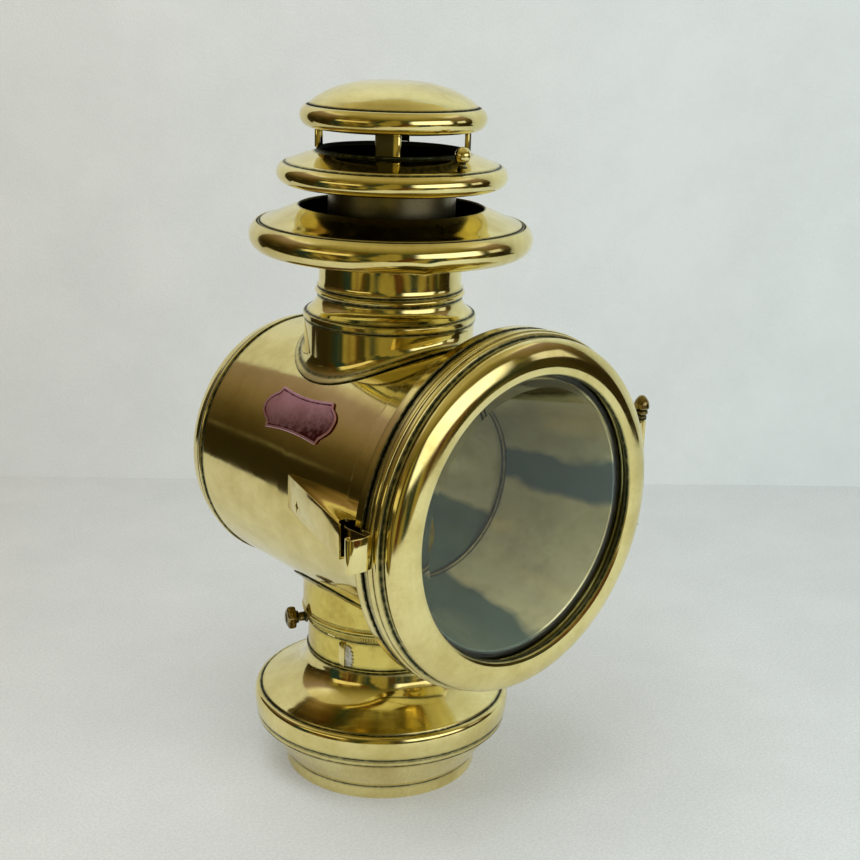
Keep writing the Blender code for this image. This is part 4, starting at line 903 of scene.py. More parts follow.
class LAMP_OT_reflectors(LampPiece, bpy.types.Operator):
    """The silvered cone and bowl with the double ring between them"""
    bl_idname = "lamp.reflectors"
    bl_label = "Reflectors"

    def make(self, context):
        cone = turned("silvered_cone", [
            (50.7, 39), (67.7, 98.5), *arc((68.5, 98.5), 0.8, 170, 0, 8), (69.3, 97.5, 0.2),
            (68.3, 96.9, 0.2), (51.5, 39),
        ], DRUM_AXIS, DRUM_STEPS)
        finish(cone, "worn_silver_plate", "silver_plate", "lamp", "reflector_cone")

        back, front, rim = disc("reflector_carrier")
        carrier = turned("cone_carrier", [
            (66.1, back, 0.2), (rim, back, 0.2), (rim, front, 0.2), (66.1, front, 0.2),
        ], DRUM_AXIS)
        finish(carrier, "smoked_brass", "polished_brass", "lamp", "reflector_carrier")

        ring = turned("double_ring", [
            *arc((49.6, 38.1), 0.62, 60, 260, 10), *arc((49.6, 37.0), 0.62, 100, 300, 10),
            (53.1, 36.4, 0.2), (53.1, 38.7, 0.2),
        ], DRUM_AXIS)
        # The second stain darkens the ring's half that faces the cone.
        stain(ring, DRUM_AXIS, [(49.4, 37.55, 0.8), (51.4, 38.6, 1.8)])
        finish(ring, "unpolished_brass", "polished_brass", "lamp", "bowl_ring")

        mouth, depth = 36.1, 63.1
        shares = [(i / 24) ** 1.5 for i in range(25)]
        inner = [(50 * sqrt(1 - t), mouth - depth * t) for t in shares]
        outer = [(50.8 * sqrt(1 - t), mouth - 0.8 - depth * t) for t in shares]
        bowl = turned("silvered_bowl", [*inner[::-1], (53.1, mouth), (53.1, mouth - 0.8), *outer], DRUM_AXIS)
        cut(bowl, rod("burner_cut", 26, DRUM_CENTRE, -60, -9, 96))
        cut(bowl, rod("flue_cut", 26, DRUM_CENTRE, 12, 60, 96))
        smooth(bowl)
        finish(bowl, "worn_silver_bowl", "silver_plate", "lamp", "reflector_bowl")


class LAMP_OT_door(LampPiece, bpy.types.Operator):
    """The moulded door ring with its bevelled glass and the wire that holds it"""
    bl_idname = "lamp.door"
    bl_label = "Door"

    def make(self, context):
        s = DOOR_BACK
        crest = curve([
            (88.5, s + 11.9), (88.9, s + 13.6), (87.9, s + 15.9), (85.2, s + 17.8), (81.5, s + 19.3),
            (77.5, s + 20.0), (74.6, s + 19.9), (72.6, s + 19.3),
        ], 5)
        ring = turned("moulded_ring", [
            (91, s, 0.5), (91, s + 2.6, 0.5), (90.1, s + 3.0, 0.25), (91.5, s + 3.3, 1.3),
            (91.5, s + 5.7, 1.3), (89.8, s + 6.0, 0.2), (90.8, s + 6.2, 1.2), (90.7, s + 8.9, 1.2),
            (88.7, s + 9.2, 0.3), (88.4, s + 10.8, 0.4), (87.1, s + 11.2, 0.2), *crest,
            (71.7, s + 18.2, 0.6), (71.6, s + 16.5),
            (75.6, s + 16.5), (75.6, s + 10.5), (76.6, s + 10.5), (76.6, s + 17.4), (80.0, s + 18.2),
            (84.6, s + 15.9), (85.9, s + 12.0), (88.4, s + 7.1), (89.8, s),
        ], DRUM_AXIS, 256)
        stain(ring, DRUM_AXIS, [
            (90.1, s + 3.0, 1.0), (89.8, s + 6.0, 1.0), (88.7, s + 9.6, 1.3), (87.2, s + 11.2, 1.3),
            (71.7, s + 18.2, 0.9), (91, s, 0.9),
        ])
        # Sooting and painted shade on the ring's inner side, behind its crest.
        paint(ring, DRUM_AXIS, "soot_and_shade", lambda across, along: 0.8 * (along < s + 17.9 and across < 85))
        finish(ring, "polished_brass_drum", "polished_brass", "door", "door_frame")

        back, front, rim = disc("front_glass")
        glass = turned("bevelled_pane", [
            (0, back), (rim, back, 0.2), (rim, back + 1.6, 0.2), (rim - 9.8, front), (0, front),
        ], DRUM_AXIS)
        smooth(glass, 6)
        finish(glass, "bevelled_soda_glass", "bevelled_glass", "door", "front_glass")

        wire = turned("glass_wire", arc((74.1, back - 1.5), 1.2, 0, 337.5, 15), DRUM_AXIS)
        finish(wire, "polished_brass_drum", "polished_brass", "door", "glass_ring")

        low, high = box_mm("door_catch")
        foot_x, plate_y, out = high.x - 0.6, low.y + 0.6, low.x
        path = [(foot_x, high.y), (foot_x, plate_y + 2.2)]
        path += arc((foot_x - 2.0, plate_y + 2.2), 2.0, 0, -75, 6)[1:]
        path += curve([
            (foot_x - 2.9, plate_y + 0.1), (foot_x - 5.4, plate_y - 0.5), (foot_x - 8.6, plate_y - 0.5),
            (out + 2.7, plate_y),
        ], 5)[1:-1]
        path += arc((out + 2.7, plate_y + 2.1), 2.1, 270, 60, 16)
        catch = prism("catch_strap", strap(path, 1.2), Matrix(), low.z, high.z)
        soften(catch, 0.2)
        finish(catch, "polished_brass_upright", "polished_brass", "door", "door_catch")


class LAMP_OT_hinge(LampPiece, bpy.types.Operator):
    """The hinge leaves and the pin, with an acorn on top and a button head below"""
    bl_idname = "lamp.hinge"
    bl_label = "Hinge"

    def make(self, context):
        tip = HINGE_TOP - DRUM_Z
        top = [(1.5, 29.4), (3.0, 29.7, 0.4), (3.0, 31.7, 0.6), (2.1, 32.2, 0.2), (3.6, 32.8, 0.7),
               (3.6, 34.5, 0.7), (2.3, 35.1, 0.2), (4.1, 35.8, 0.4)]
        top += curve([
            (4.2, 36.2), (4.15, 37.2), (3.9, 38.8), (3.2, tip - 2.5), (2.0, tip - 0.9), (0.9, tip - 0.15),
            (0, tip),
        ])
        head = arc((0, -29.3), 1, -90, 0, 8)
        head = [(2.85 * u, -29.3 + 1.4 * (v + 29.3)) for u, v in head]
        pin = turned("acorn_pin", [(0, head[0][1]), *head[1:], (1.5, -29.3), *top], HINGE_AXIS, 64)
        stain(pin, HINGE_AXIS, [(2.1, 32.2, 1.2), (2.3, 35.1, 1.3), (3.0, 29.8, 1.2)])
        finish(pin, "unpolished_brass", "polished_brass", "lamp", "hinge_pin")
        for name in ("body_hinge_leaf", "door_hinge_leaf"):
            dress(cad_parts[name], "polished_brass_upright")


class LAMP_OT_latch(LampPiece, bpy.types.Operator):
    """The wedge-shaped latch housing with its pierced star, and the spring tongue"""
    bl_idname = "lamp.latch"
    bl_label = "Latch"

    def make(self, context):
        low, high = box_mm("latch_housing")
        rear = Vector((-drum_radius(9) - GAP, -9))
        front = Vector((low.x, low.y))
        inside = -36.0
        wedge = [tuple(rear), tuple(front), (inside, front.y), (inside, rear.y)]
        housing = prism("wedge_housing", wedge, Matrix(), low.z, high.z)
        along = (front - rear).normalized()
        inward = Vector((-along.y, along.x)) * 1.2
        beyond = front + inward + along * 4
        wedge = [tuple(rear + inward), tuple(beyond), (inside, beyond.y), (inside, rear.y)]
        cut(housing, prism("hollow", wedge, Matrix(), low.z + 1.2, high.z - 1.2))
        cut(housing, envelope("skin", GAP))
        notch = Matrix.Translation(Vector((front.x + 5.7, front.y, 0)) * MM)
        cut(housing, rod("notch", 4.5, notch, high.z - 2.4, high.z + 4, 48))
        spot = rear + along * 14
        side = Vector((along.x, along.y, 0))
        out = Vector((along.y, -along.x, 0))
        place = Matrix((side, Vector((0, 0, 1)), out)).transposed().to_4x4()
        place = Matrix.Translation(Vector((spot.x, spot.y, low.z + 5)) * MM) @ place
        star = [(2.3, 0), (0.9, 1.1), (0, 3.6), (-0.9, 1.1), (-2.3, 0), (-0.9, -1.1), (0, -3.6), (0.9, -1.1)]
        cut(housing, prism("star", star, place, -3, 3))
        soften(housing, 0.2, 30)
        finish(housing, "polished_brass_upright", "polished_brass", "lamp", "latch_housing")

        low, high = box_mm("latch_spring")
        path = [(-drum_radius(reach) - GAP - 0.4, -reach) for reach in (20, 27, 34)]
        path = curve([*path, (-76.5, -43), (-91.5, -75), (low.x + 0.4, -81), (low.x + 0.4, low.y)])
        spring = prism("spring_tongue", strap(path, 0.8), Matrix(), low.z, high.z)
        soften(spring, 0.15)
        finish(spring, "unpolished_brass", "dull_brass", "latch", "latch_spring")


class LAMP_OT_badge(LampPiece, bpy.types.Operator):
    """The bare copper plate with a raised border, bent round the drum"""
    bl_idname = "lamp.badge"
    bl_label = "Badge"

    def make(self, context):
        left = curve([
            (-21.9, -8.2), (-25.2, -6.0), (-27.8, -3.2), (-28.5, 0), (-27.6, 3.2), (-24.9, 6.2), (-21.9, 8.2),
        ], 4)
        right = curve([
            (22.4, 8.4), (26.0, 6.2), (28.2, 3.4), (28.5, 0), (27.4, -3.6), (24.6, -6.4), (22.4, -8.2),
        ], 4)
        low = curve([(-20.4, -11.4), (-10, -10.4), (0, -10.0), (10, -10.4), (21.0, -11.4)], 4)
        high = curve([(20.6, 11.4), (10, 9.9), (0, 9.3), (-10, 9.9), (-20.4, 11.4)], 4)
        outline = [*low, *right[::-1], *high, *left[::-1]]
        plate = raised("badge_shield", [Vector((*point, 0)) * MM for point in outline], (0, 0, 0.9 * MM))
        for width, rise in ((0.25, 0.25), (0.8, 0), (0.35, -0.65), (0.6, 0)):
            bpy.ops.mesh.inset(thickness=width * MM, depth=rise * MM)
        bisect_at([(i * 1.55 * MM, 0, 0) for i in range(-18, 19)], (1, 0, 0))
        bisect_at([(0, i * 1.03 * MM, 0) for i in range(-11, 12)], (0, 1, 0))
        leave()
        low, high = box_mm("badge_plate")
        middle = -(low.y + high.y) / 2
        tilt = radians(33.1)
        run = [Vector(point) for point in outline]
        # Dark edges, and painted shade across the plate.
        keep_values(plate, "grime_and_shade", [self.dirt_and_shade(vertex.co / MM, run) for vertex in plate.data.vertices])
        for vertex in plate.data.vertices:
            across, up, proud = vertex.co / MM
            reach = middle + across
            radius = drum_radius(reach) + GAP + proud * 0.8
            angle = tilt + up / 72.8
            vertex.co = Vector((-radius * cos(angle), -reach, DRUM_Z + radius * sin(angle))) * MM
        face_outward(plate)
        smooth(plate, 25)
        finish(plate, "oxidised_copper", "copper_plate", "lamp", "badge_plate")

    def dirt_and_shade(self, place, run):
        """Dark at the foot of the plate and inside its border, with painted shade that darkens it towards the
        lower edge and to the right.
        """
        if place.z < 0.3:
            return 1.0
        if place.z > 0.8:
            return 0.0
        near = min((place.xy - point).length for point in run)
        # Painted shade: the field is lighter at the top left and darker at the lower right.
        return 0.95 if near < 2.0 else min(max(0.3 - place.y * 0.045 + place.x * 0.012, 0.0), 0.85)


class LAMP_OT_font(LampPiece, bpy.types.Operator):
    """The oil font: bowl, shoulder, neck band, its key and the solder beside it"""
    bl_idname = "lamp.font"
    bl_label = "Font"

    def make(self, context):
        taper = curve([
            (68.9, 28.0), (67.9, 27.2), (65.6, 25.2), (62.4, 20.6), (58.7, 15.2), (55.6, 10.7), (53.9, 8.4),
        ])
        inner = curve([(52.4, 8.2), (54.6, 11.2), (57.6, 15.6), (61.3, 21.0), (64.6, 25.6), (68, 29)])
        bowl = turned("font_basin", [
            (0, 0), (52.8, 0, 0.5), (53.0, 7.3, 0.3), (53.5, 7.6, 0.15), *taper[::-1], (69.1, 28.6, 0.3),
            (69.0, 35.7, 0.2), (68, 35.7, 0.2), *inner[::-1], (51.8, 1), (0, 1),
        ])
        stain(bowl, FLUE_AXIS, [(53.2, 7.6, 0.9), (69, 31.3, 0.9), (68.9, 28.0, 0.8)])
        finish(bowl, "polished_brass_upright", "polished_brass", "font", "font_bowl")

        top = FONT_TOP
        slope = curve([
            (41.4, 66.9), (41.9, 64.6), (43.0, 60.8), (45.6, 56.6), (50, 52.8), (56, 49.6), (62, 47.0),
            (66.1, 45.5),
        ])
        bead = curve([
            (67.4, 44.6), (68.5, 44.5), (69.4, 43.8), (70.0, 42.5), (70.35, 40.8), (70.4, 38.8), (70.2, 36.2),
            (69.9, 33.6), (69.6, 31.9),
        ], 4)
        under = inset(slope, 1)[::-1]
        hood = turned("font_hood", [
            (16.7, top, 0.2), (40.6, top, 0.5), *slope, (66.8, 44.1, 0.3), *bead, (69.4, 31.4),
            (69.2, 31.6), (69.2, 36.0), (67.4, 36.0), (66.4, 43.6), (65.4, 44.6), *under[1:],
            (40.2, top - 1), (16.7, top - 1, 0.2),
        ])
        stain(hood, FLUE_AXIS, [(66.8, 44.3, 1.1), (69.5, 31.6, 0.9), (41.0, 67.4, 1.0)])
        finish(hood, "polished_brass_upright", "polished_brass", "font", "font_shoulder")

        low, high = heights("font_neck")
        foot = COLLAR_FOOT
        band = turned("neck_band", [
            (41.9, low, 0.3), (41.9, low + 0.8, 0.3), (41.1, low + 1.1, 0.2), (41.1, foot - 4.2, 0.2),
            (41.6, foot - 3.8, 0.3), (41.6, foot - 2.6, 0.3), (41.1, foot - 2.2, 0.2), (41.1, foot),
            (42.7, foot + 4), (42.7, high), (41.7, high), (41.7, foot + 4), (40.1, foot), (40.1, low),
        ])
        stain(band, FLUE_AXIS, [
            (41.6, low + 1.2, 0.8), (41.3, foot - 4.2, 0.8), (41.3, foot - 2.1, 0.8), (41.2, foot, 1.2),
        ])
        cut(band, rod("spindle_hole", SPINDLE_HOLE, WINDER_PLACE, 30, 50, 32))
        smooth(band)
        finish(band, "lacquered_brass", "polished_brass", "font", "font_neck")

        low, high = heights("neck_key")
        self.strip("key_strip", 198, (41.2, -1.7, low), (42.4, 1.7, high), "neck_key")
        self.strip("neck_stud", 188.5, (41.2, -2.6, foot - 3.9), (42.2, 2.6, foot - 2.5))
        self.solder(low)

    def strip(self, name, azimuth, low, high, *nodes):
        """A small flat strip on the neck band."""
        obj = block(name, low, high, Matrix.Rotation(radians(azimuth), 4, "Z"))
        soften(obj, 0.3)
        finish(obj, "polished_brass_upright", "polished_brass", "font", *nodes)

    def solder(self, low):
        """The ragged patch beside the key, bent round the neck band."""
        edge = [(0, 0), (2.2, 0.2), (3.1, 0.9), (2.3, 1.6), (3.4, 2.6), (2.6, 3.5), (3.6, 4.6), (2.4, 5.4),
                (3.3, 6.6), (2.5, 7.6), (3.2, 8.7), (2.0, 9.6), (2.6, 10.9), (1.4, 12.2), (0, 12.6)]
        run = rounded([(u, v, 0.3) for u, v in edge], 2)
        patch = raised("solder_seam", [Vector((u, v, 0)) * MM for u, v in run], (0, 0, 0.35 * MM))
        bpy.ops.mesh.inset(thickness=0.3 * MM, depth=0.25 * MM)
        leave()
        for vertex in patch.data.vertices:
            across, up, proud = vertex.co / MM
            angle = radians(198) + (1.6 + across * 1.6) / 41.5
            radius = 41.15 + proud
            vertex.co = Vector((radius * cos(angle), radius * sin(angle), low + 0.4 + up)) * MM
        face_outward(patch)
        smooth(patch, 60)
        finish(patch, "soft_solder", "solder", "font")


class LAMP_OT_burner(LampPiece, bpy.types.Operator):
    """The burner in the font's top: body, wick tube, cap with air holes, and the wick"""
    bl_idname = "lamp.burner"
    bl_label = "Burner"

    def make(self, context):
        low, high = heights("burner_body")
        foot = FONT_TOP + GAP
        body = turned("burner_base", [
            (16.4, low, 0.2), (16.4, foot, 0.1), (22, foot, 0.4), (22, foot + 1.9, 0.4),
            (16.5, foot + 1.9, 0.3), (16.5, foot + 12), (16.9, foot + 12.3, 0.2), (16.5, foot + 12.6),
            (16.5, high, 0.4), (11.5, high, 0.3), (11.5, high - 1, 0.2), (15.5, high - 1), (15.5, foot),
            (15.4, low, 0.2),
        ], FLUE_AXIS, 96)
        cut(body, rod("spindle_hole", SPINDLE_HOLE, WINDER_PLACE, 8, 30, 32))
        smooth(body)
        finish(body, "unpolished_brass", "dull_brass", "font", "burner_body")

        place = Matrix.Rotation(WINDER_ANGLE, 4, "Z")
        low, high = heights("burner_cap")
        cap = self.spreader(low, high)
        cut(cap, block("slot", (-11.5, -4, low + (high - low) / 2), (11.5, 4, high + 4), place))
        for i in range(3):
            turn = Matrix.Rotation(WINDER_ANGLE + tau * (i + 0.5) / 6, 4, "Z")
            through = Matrix.Translation((0, 0, (low + 6) * MM)) @ turn @ Matrix.Rotation(pi / 2, 4, "X")
            cut(cap, rod("air_hole", 2, through, -25, 25, 24))
        smooth(cap)
        finish(cap, "unpolished_brass", "dull_brass", "font", "burner_cap")
        dress(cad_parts["wick_tube"], "unpolished_brass")

        low, high = heights("wick")
        strip = rounded([(-8.8, -1.2, 0.9), (8.8, -1.2, 0.9), (8.8, 1.2, 0.9), (-8.8, 1.2, 0.9)], 4)
        wick = prism("woven_wick", strip, place, low, high)
        edit(wick)
        bisect_at([(0, 0, (low + (high - low) * i / 40) * MM) for i in range(1, 40)], (0, 0, 1))
        leave()
        smooth(wick, 50)
        finish(wick, "woven_cotton", "cotton_wick", "wick", "wick")

    def spreader(self, low, high):
        """The domed cap over the wick tube."""
        rise = high - low
        side = curve([
            (20.3, low + rise * 0.62), (20.1, low + rise * 0.7), (19.0, low + rise * 0.81),
            (15.5, low + rise * 0.91), (9, low + rise * 0.975), (0, high),
        ])
        inner = curve([
            (0, high - 1), (8.6, high - 2.4), (14.8, low + rise * 0.91 - 1), (18.1, low + rise * 0.81 - 0.6),
            (19.1, low + rise * 0.7), (19.3, low + rise * 0.62),
        ])
        return turned("flame_spreader", [*inner, (19.3, low, 0.2), (20.3, low, 0.2), *side], FLUE_AXIS, 96)


class LAMP_OT_winder(LampPiece, bpy.types.Operator):
    """The wick winder: spindle, bush and lobed knob"""
    bl_idname = "lamp.winder"
    bl_label = "Winder"

    def make(self, context):
        bush = turned("spindle_bush", [
            (SPINDLE_HOLE, 41.4), (3.3, 41.4, 0.3), (3.3, 42.4, 0.3), (2.5, 42.9, 0.3), (2.5, 45.8, 0.3),
            (SPINDLE_HOLE, 45.8, 0.1),
        ], WINDER_AXIS, 48)
        stain(bush, WINDER_AXIS, [(2.6, 43, 1.0)])
        finish(bush, "unpolished_brass", "polished_brass", "font", "winder_bush")
        spindle = turned("winding_spindle", [
            (0, -11), (1.6, -11, 0.4), (1.6, 46.1, 0.1), (0, 46.1),
        ], WINDER_AXIS, 32)
        finish(spindle, "unpolished_brass", "dull_brass", "winder", "winder_spindle")

        knob = turned("lobed_knob", [
            (0, 46.4), (3.2, 46.4, 0.3), (3.5, 47.4, 0.4), (3.4, 48.0, 0.2), (5.9, 48.3, 0.5),
            (6.4, 50.3, 1.2), (6.0, 52.2, 1.0), (4.4, 52.9, 0.6), (2.2, 53.2, 0.4), (1.9, 53.6, 0.2),
            (0, 53.6),
        ], WINDER_AXIS, 160)
        for vertex in knob.data.vertices:
            self.lobe(vertex)
        stain(knob, WINDER_AXIS, [(3.5, 48.0, 1.3), (2.2, 53.0, 0.8)])
        smooth(knob)
        finish(knob, "unpolished_brass", "dull_brass", "winder", "winder_knob")
        for name in ("star_wheel_1", "star_wheel_2"):
            dress(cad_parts[name], "unpolished_brass")

    def lobe(self, vertex):
        """Draws the knob's rim in between its five lobes."""
        origin, along, across = WINDER_AXIS
        sideways = along.cross(across)
        offset = vertex.co - origin
        reach = offset.dot(along)
        u, v = offset.dot(across), offset.dot(sideways)
        radius = sqrt(u * u + v * v)
        if radius > 3.6 * MM and reach > 48.1 * MM:
            share = 1 - 0.18 * (0.5 - 0.5 * cos(atan2(v, u) * 5)) ** 0.7 * (radius / MM - 3.6) / 2.8
            vertex.co = origin + along * reach + (across * u + sideways * v) * share


class LAMP_OT_stage(LampPiece, bpy.types.Operator):
    """A pale floor and wall, soft light and the camera"""
    bl_idname = "lamp.stage"
    bl_label = "Stage"

    def make(self, context):
        stage = context.scene.lamp_stage
        self.camera(context)
        self.floor(stage)
        self.wall(stage)
        self.lights(stage)
        self.world(context.scene, stage)
        context.scene.view_settings.view_transform = "Standard"

    def camera(self, context):
        bearing, dip, roll = -43.043, 16.699, 1.7247
        bpy.ops.object.select_all(action="DESELECT")
        bpy.ops.object.camera_add(location=(-0.49606, -0.56465, 0.41604))
        camera = context.object
        camera.name = "lamp_camera"
        turn = Matrix.Rotation(radians(bearing), 4, "Z") @ Matrix.Rotation(radians(90 - dip), 4, "X")
        turn = turn @ Matrix.Rotation(radians(roll), 4, "Z")
        camera.rotation_euler = turn.to_euler()
        camera.data.sensor_width = 36
        camera.data.angle = radians(32.5)
        camera.data.clip_start = 0.01
        camera.data.clip_end = 20
        context.scene.camera = camera

    def pale(self, name, colour, grain, glow):
        """Pale and matt, with painted shade that makes its left side darker and warmer. The camera, metal and
        glass see it a little brighter than the light makes it.
        """
        material, tree = new_finish(name)
        coordinates = add(tree, "ShaderNodeTexCoord").outputs["Object"]
        cloud = noise(tree, coordinates, 90, 5, 0.65)
        fine = noise(tree, coordinates, 1.6, 4, 0.7, 0.4, 0.6)
        speck = noise(tree, coordinates, 1.1, 2, 0.5, 0.70, 0.76)
        # Painted shade: the left side is darker and warmer, as if the light came from the right.
        side = ranged(tree, dot(tree, coordinates, RIGHT), -0.3, 0.35)
        tint_with_painted_shade = blended(tree, side, [colour[0] * 0.99, colour[1] * 0.93, colour[2] * 0.90], colour)
        tint_with_painted_shade = blended(tree, scaled(tree, cloud, -0.12, 0.12), tint_with_painted_shade, [c * 0.5 for c in colour])
        tint_with_painted_shade = blended(tree, scaled(tree, fine, -grain, grain), tint_with_painted_shade, [c * 0.45 for c in colour])
        tint_with_painted_shade = blended(tree, times(tree, speck, grain * 2), tint_with_painted_shade, [c * 0.2 for c in colour])
        relief = bump(tree, noise(tree, coordinates, 1.5, 3), 0.0002, 0.5)
        matt = add(tree, "ShaderNodeBsdfPrincipled", {
            "Base Color": tint_with_painted_shade, "Roughness": 0.75, "Specular IOR Level": 0.2, "Normal": relief,
        })
        light = add(tree, "ShaderNodeEmission", {"Color": tint_with_painted_shade, "Strength": glow})
        path = add(tree, "ShaderNodeLightPath").outputs
        seen = plus(tree, path["Is Camera Ray"], path["Is Glossy Ray"])
        seen = maths(tree, "MINIMUM", plus(tree, seen, path["Is Transmission Ray"]), 1.0)
        lit = add(tree, "ShaderNodeAddShader", {0: matt.outputs[0], 1: light.outputs[0]})
        surface(tree, add(tree, "ShaderNodeMixShader", {0: seen, 1: matt.outputs[0], 2: lit.outputs[0]}))
        return material

    def panel(self, name, corners, material):
        """A flat sheet with these corners."""
        obj = ring_of(name, corners)
        edit(obj)
        bpy.ops.mesh.edge_face_add()
        leave()
        obj.data.materials.append(material)
        return obj

    def floor(self, stage):
        """Pale slab that ends left of the lamp and before the camera."""
        corners = [
            Vector((-0.42, 0.98, 0)), Vector((-0.38, 0.32, 0)), Vector((-0.37, -0.1, 0)),
            RIGHT * -0.1 + AWAY * -stage.floor_front, Vector((0.28, -1.07, 0)),
            RIGHT * 0.9 + AWAY * stage.wall_distance,
        ]
        self.panel("floor", corners, self.pale("pale_concrete", stage.floor_colour, 0.2, stage.floor_glow))

    def wall(self, stage):
        foot = AWAY * stage.wall_distance
        low, high = Vector((0, 0, -0.02)), Vector((0, 0, 1.35))
        left, end = foot + RIGHT * -stage.wall_left, foot + RIGHT * 1.5
        material = self.pale("pale_wall", stage.wall_colour, 0.015, stage.wall_glow)
        self.panel("wall", [left + low, end + low, end + high, left + high], material)

    def card(self, name, azimuth, low, high, spread, distance, colour, strength):
        """A lit sheet that stands about the lamp and shows in its polish, between two heights in degrees."""
        material, tree = new_finish(name)
        corners = []
        for turn, rise in ((-spread, low), (spread, low), (spread, high), (-spread, high)):
            angle = radians(azimuth + turn)
            reach = distance / cos(radians(turn))
            height = 0.2 + distance * tan(radians(rise))
            corners.append(Vector((cos(angle) * reach, sin(angle) * reach, height)))
        middle = (corners[0] + corners[2]) / 2
        side = (corners[1] - corners[0]).normalized()
        wide, tall = (corners[1] - corners[0]).length / 2, (corners[2] - corners[1]).length / 2
        place = add(tree, "ShaderNodeTexCoord").outputs["Object"]
        offset = vector_maths(tree, "SUBTRACT", place, middle)[0]
        across = dot(tree, offset, side / wide)
        up = dot(tree, offset, (0, 0, 1 / tall))
        fade = times(tree, self.fade(tree, across), self.fade(tree, up))
        light = add(tree, "ShaderNodeEmission", {"Color": (*colour, 1), "Strength": strength})
        clear = add(tree, "ShaderNodeBsdfTransparent")
        surface(tree, add(tree, "ShaderNodeMixShader", {0: fade, 1: clear.outputs[0], 2: light.outputs[0]}))
        card = self.panel(name, corners, material)
        card.visible_camera = False
        card.visible_shadow = False

    def fade(self, tree, value):
        """One in the middle of a card, and none at its edges."""
        return ranged(tree, maths(tree, "ABSOLUTE", value), 1.0, 0.7, interpolation_type="SMOOTHSTEP")

    def lights(self, stage):
        white, gold = linear("#FFFCF2"), linear("#F0DFA4")
        self.card("window", 276, 0, 30, 30, 1.3, white, stage.window_glow)
        self.card("far_window", 318, 6, 20, 8, 1.3, white, stage.window_glow * 0.5)
        self.card("lit_doorway", 178, 4, 17, 24, 1.4, gold, stage.door_glow)
        self.card("shelf_edge", 128, 2, 4.4, 6, 1.6, gold, stage.door_glow * 0.12)
        boxes = (
            ("overhead_light", (-0.35, -0.15, 1.2), (0.05, 0, 0.15), 0.9, stage.top_light),
            ("window_light", (0.3, -1.2, 0.6), (0, 0, 0.15), 0.5, stage.window_light),
        )
        for name, place, target, size, power in boxes:
            bpy.ops.object.select_all(action="DESELECT")
            bpy.ops.object.light_add(type="AREA", location=place)
            light = bpy.context.object
            light.name = light.data.name = name
            light.data.size = size
            light.data.energy = power
            light.visible_glossy = False
            light.data.color = (0.94, 0.98, 1.0)
            light.rotation_euler = (Vector(place) - Vector(target)).to_track_quat("Z", "Y").to_euler()

    def world(self, scene, stage):
        """A dim brown room on the camera's side, and a pale upper wall and ceiling behind the lamp."""
        world = bpy.data.worlds.new("room")
        world.use_nodes = True
        tree = world.node_tree
        tree.nodes.clear()
        direction = add(tree, "ShaderNodeTexCoord").outputs["Generated"]
        height = add(tree, "ShaderNodeSeparateXYZ", {0: direction}).outputs["Z"]
        behind = ranged(tree, dot(tree, direction, AWAY), -0.25, 0.05)
        near = gradient(tree, height, (
            (0.0, "#2C2813"), (0.2, "#3F3A19"), (0.45, "#5A5226"), (0.7, "#877B45"), (1.0, "#B4A676")))
        far = gradient(tree, height, (
            (0.0, "#2B2410"), (0.25, "#54472A"), (0.42, "#7C6A50"), (0.60, "#96837E"), (0.68, "#EAE6D6"),
            (0.8, "#C8BF98"), (1.0, "#A0976E")))
        tall = vector_maths(tree, "MULTIPLY", direction, (1, 1, 0.3))[0]
        clutter = add(tree, "ShaderNodeTexNoise", {"Vector": tall, "Scale": 4.0, "Detail": 2.0})
        clutter = ranged(tree, clutter.outputs["Fac"], 0.48, 0.62)
        below = ranged(tree, height, 0.55, 0.4)
        tints = add(tree, "ShaderNodeTexNoise", {"Vector": tall, "Scale": 2.6, "Detail": 1.0})
        tints = gradient(tree, tints.outputs["Fac"], (
            (0.36, "#123A40"), (0.44, "#2A3A2A"), (0.52, "#4A431C"), (0.6, "#5E2C18"), (0.7, "#6B4A26")))
        near = blended(tree, times(tree, below, 0.6), near, tints)
        near = blended(tree, times(tree, times(tree, clutter, below), 0.75), near, linear("#A3924C"))
        room = blended(tree, behind, near, far)
        back = add(tree, "ShaderNodeBackground", {"Color": room, "Strength": stage.room_light})
        add(tree, "ShaderNodeOutputWorld", {"Surface": back.outputs[0]})
        scene.world = world


def colour_setting(name, description, code):
    return FloatVectorProperty(
        name=name, description=description, subtype="COLOR", size=3, default=linear(code))


def setting(name, description, default, **limits):
    return FloatProperty(name=name, description=description, default=default, **limits)


class LampShape(bpy.types.PropertyGroup):
    big_steps: IntProperty(
        name="Round steps", description="Facets round the large turned pieces", default=192, min=24)


class LampFinish(bpy.types.PropertyGroup):
    brass: colour_setting("Brass", "Freshly polished brass", "#F4E6A2")
    aged_brass: colour_setting("Aged brass", "Brass where it has darkened", "#CBB564")
    dirt_and_shade: colour_setting("Dirt", "Old polish and verdigris in the grooves", "#333C2C")
    silver: colour_setting("Silver", "Silver plate of the reflectors", "#F6F2DC")
    brass_roughness: setting("Polish", "Least roughness of the brass", 0.06, min=0, max=1)
    waviness: setting("Waviness", "Height in mm of the slow waves in the sheet", 0.07)


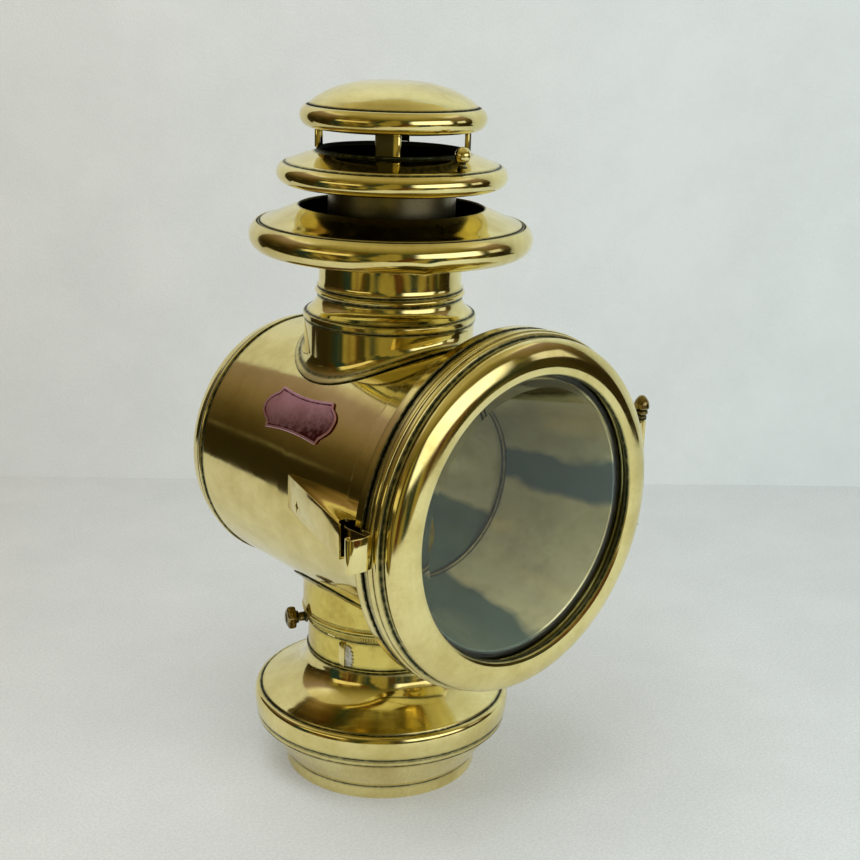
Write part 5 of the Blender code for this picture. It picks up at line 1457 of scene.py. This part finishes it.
class LampStage(bpy.types.PropertyGroup):
    floor_colour: colour_setting("Floor", "Pale concrete", "#CED5DA")
    wall_colour: colour_setting("Wall", "Pale wall", "#CFD7DB")
    floor_glow: setting("Floor glow", "Brightness added where the floor is seen", 0.34)
    wall_glow: setting("Wall glow", "Brightness added where the wall is seen", 0.40)
    wall_distance: setting("Wall distance", "From the chimney to the wall", 0.476, unit="LENGTH")
    wall_left: setting("Wall's left end", "From behind the chimney to the wall's end", 0.62, unit="LENGTH")
    floor_front: setting("Floor front", "From the chimney to the floor's front edge", 0.65, unit="LENGTH")
    top_light: setting("Overhead light", "Power in watts", 7.5)
    window_light: setting("Window light", "Power in watts", 2.5)
    window_glow: setting("Window", "Brightness of the window, where 1 is white", 1.6)
    door_glow: setting("Doorway", "Brightness of the doorway, where 1 is full", 1.0)
    room_light: setting("Room light", "Strength of the room around the lamp", 1.0)


class LAMP_PT_sidebar(bpy.types.Panel):
    bl_idname = "LAMP_PT_sidebar"
    bl_label = "Lamp"
    bl_space_type = "VIEW_3D"
    bl_region_type = "UI"
    bl_category = "Lamp"

    def draw(self, context):
        for group in (context.scene.lamp_shape, context.scene.lamp_finish, context.scene.lamp_stage):
            for name in group.__annotations__:
                self.layout.prop(group, name)
        for operator in OPERATORS:
            self.layout.operator(operator.bl_idname)


OPERATORS = (
    LAMP_OT_drum, LAMP_OT_collars, LAMP_OT_vent, LAMP_OT_cowl, LAMP_OT_reflectors, LAMP_OT_door,
    LAMP_OT_hinge, LAMP_OT_latch, LAMP_OT_badge, LAMP_OT_font, LAMP_OT_burner, LAMP_OT_winder, LAMP_OT_stage,
)
GROUPS = {"lamp_shape": LampShape, "lamp_finish": LampFinish, "lamp_stage": LampStage}


def register():
    for name, group in GROUPS.items():
        bpy.utils.register_class(group)
        setattr(bpy.types.Scene, name, PointerProperty(type=group))
    for kind in (*OPERATORS, LAMP_PT_sidebar):
        bpy.utils.register_class(kind)


def unregister():
    for kind in (*OPERATORS, LAMP_PT_sidebar):
        bpy.utils.unregister_class(kind)
    for name, group in GROUPS.items():
        delattr(bpy.types.Scene, name)
        bpy.utils.unregister_class(group)


def main():
    register()
    for operator in OPERATORS:
        group, name = operator.bl_idname.split(".")
        getattr(getattr(bpy.ops, group), name)()


if __name__ == "__main__":
    main()
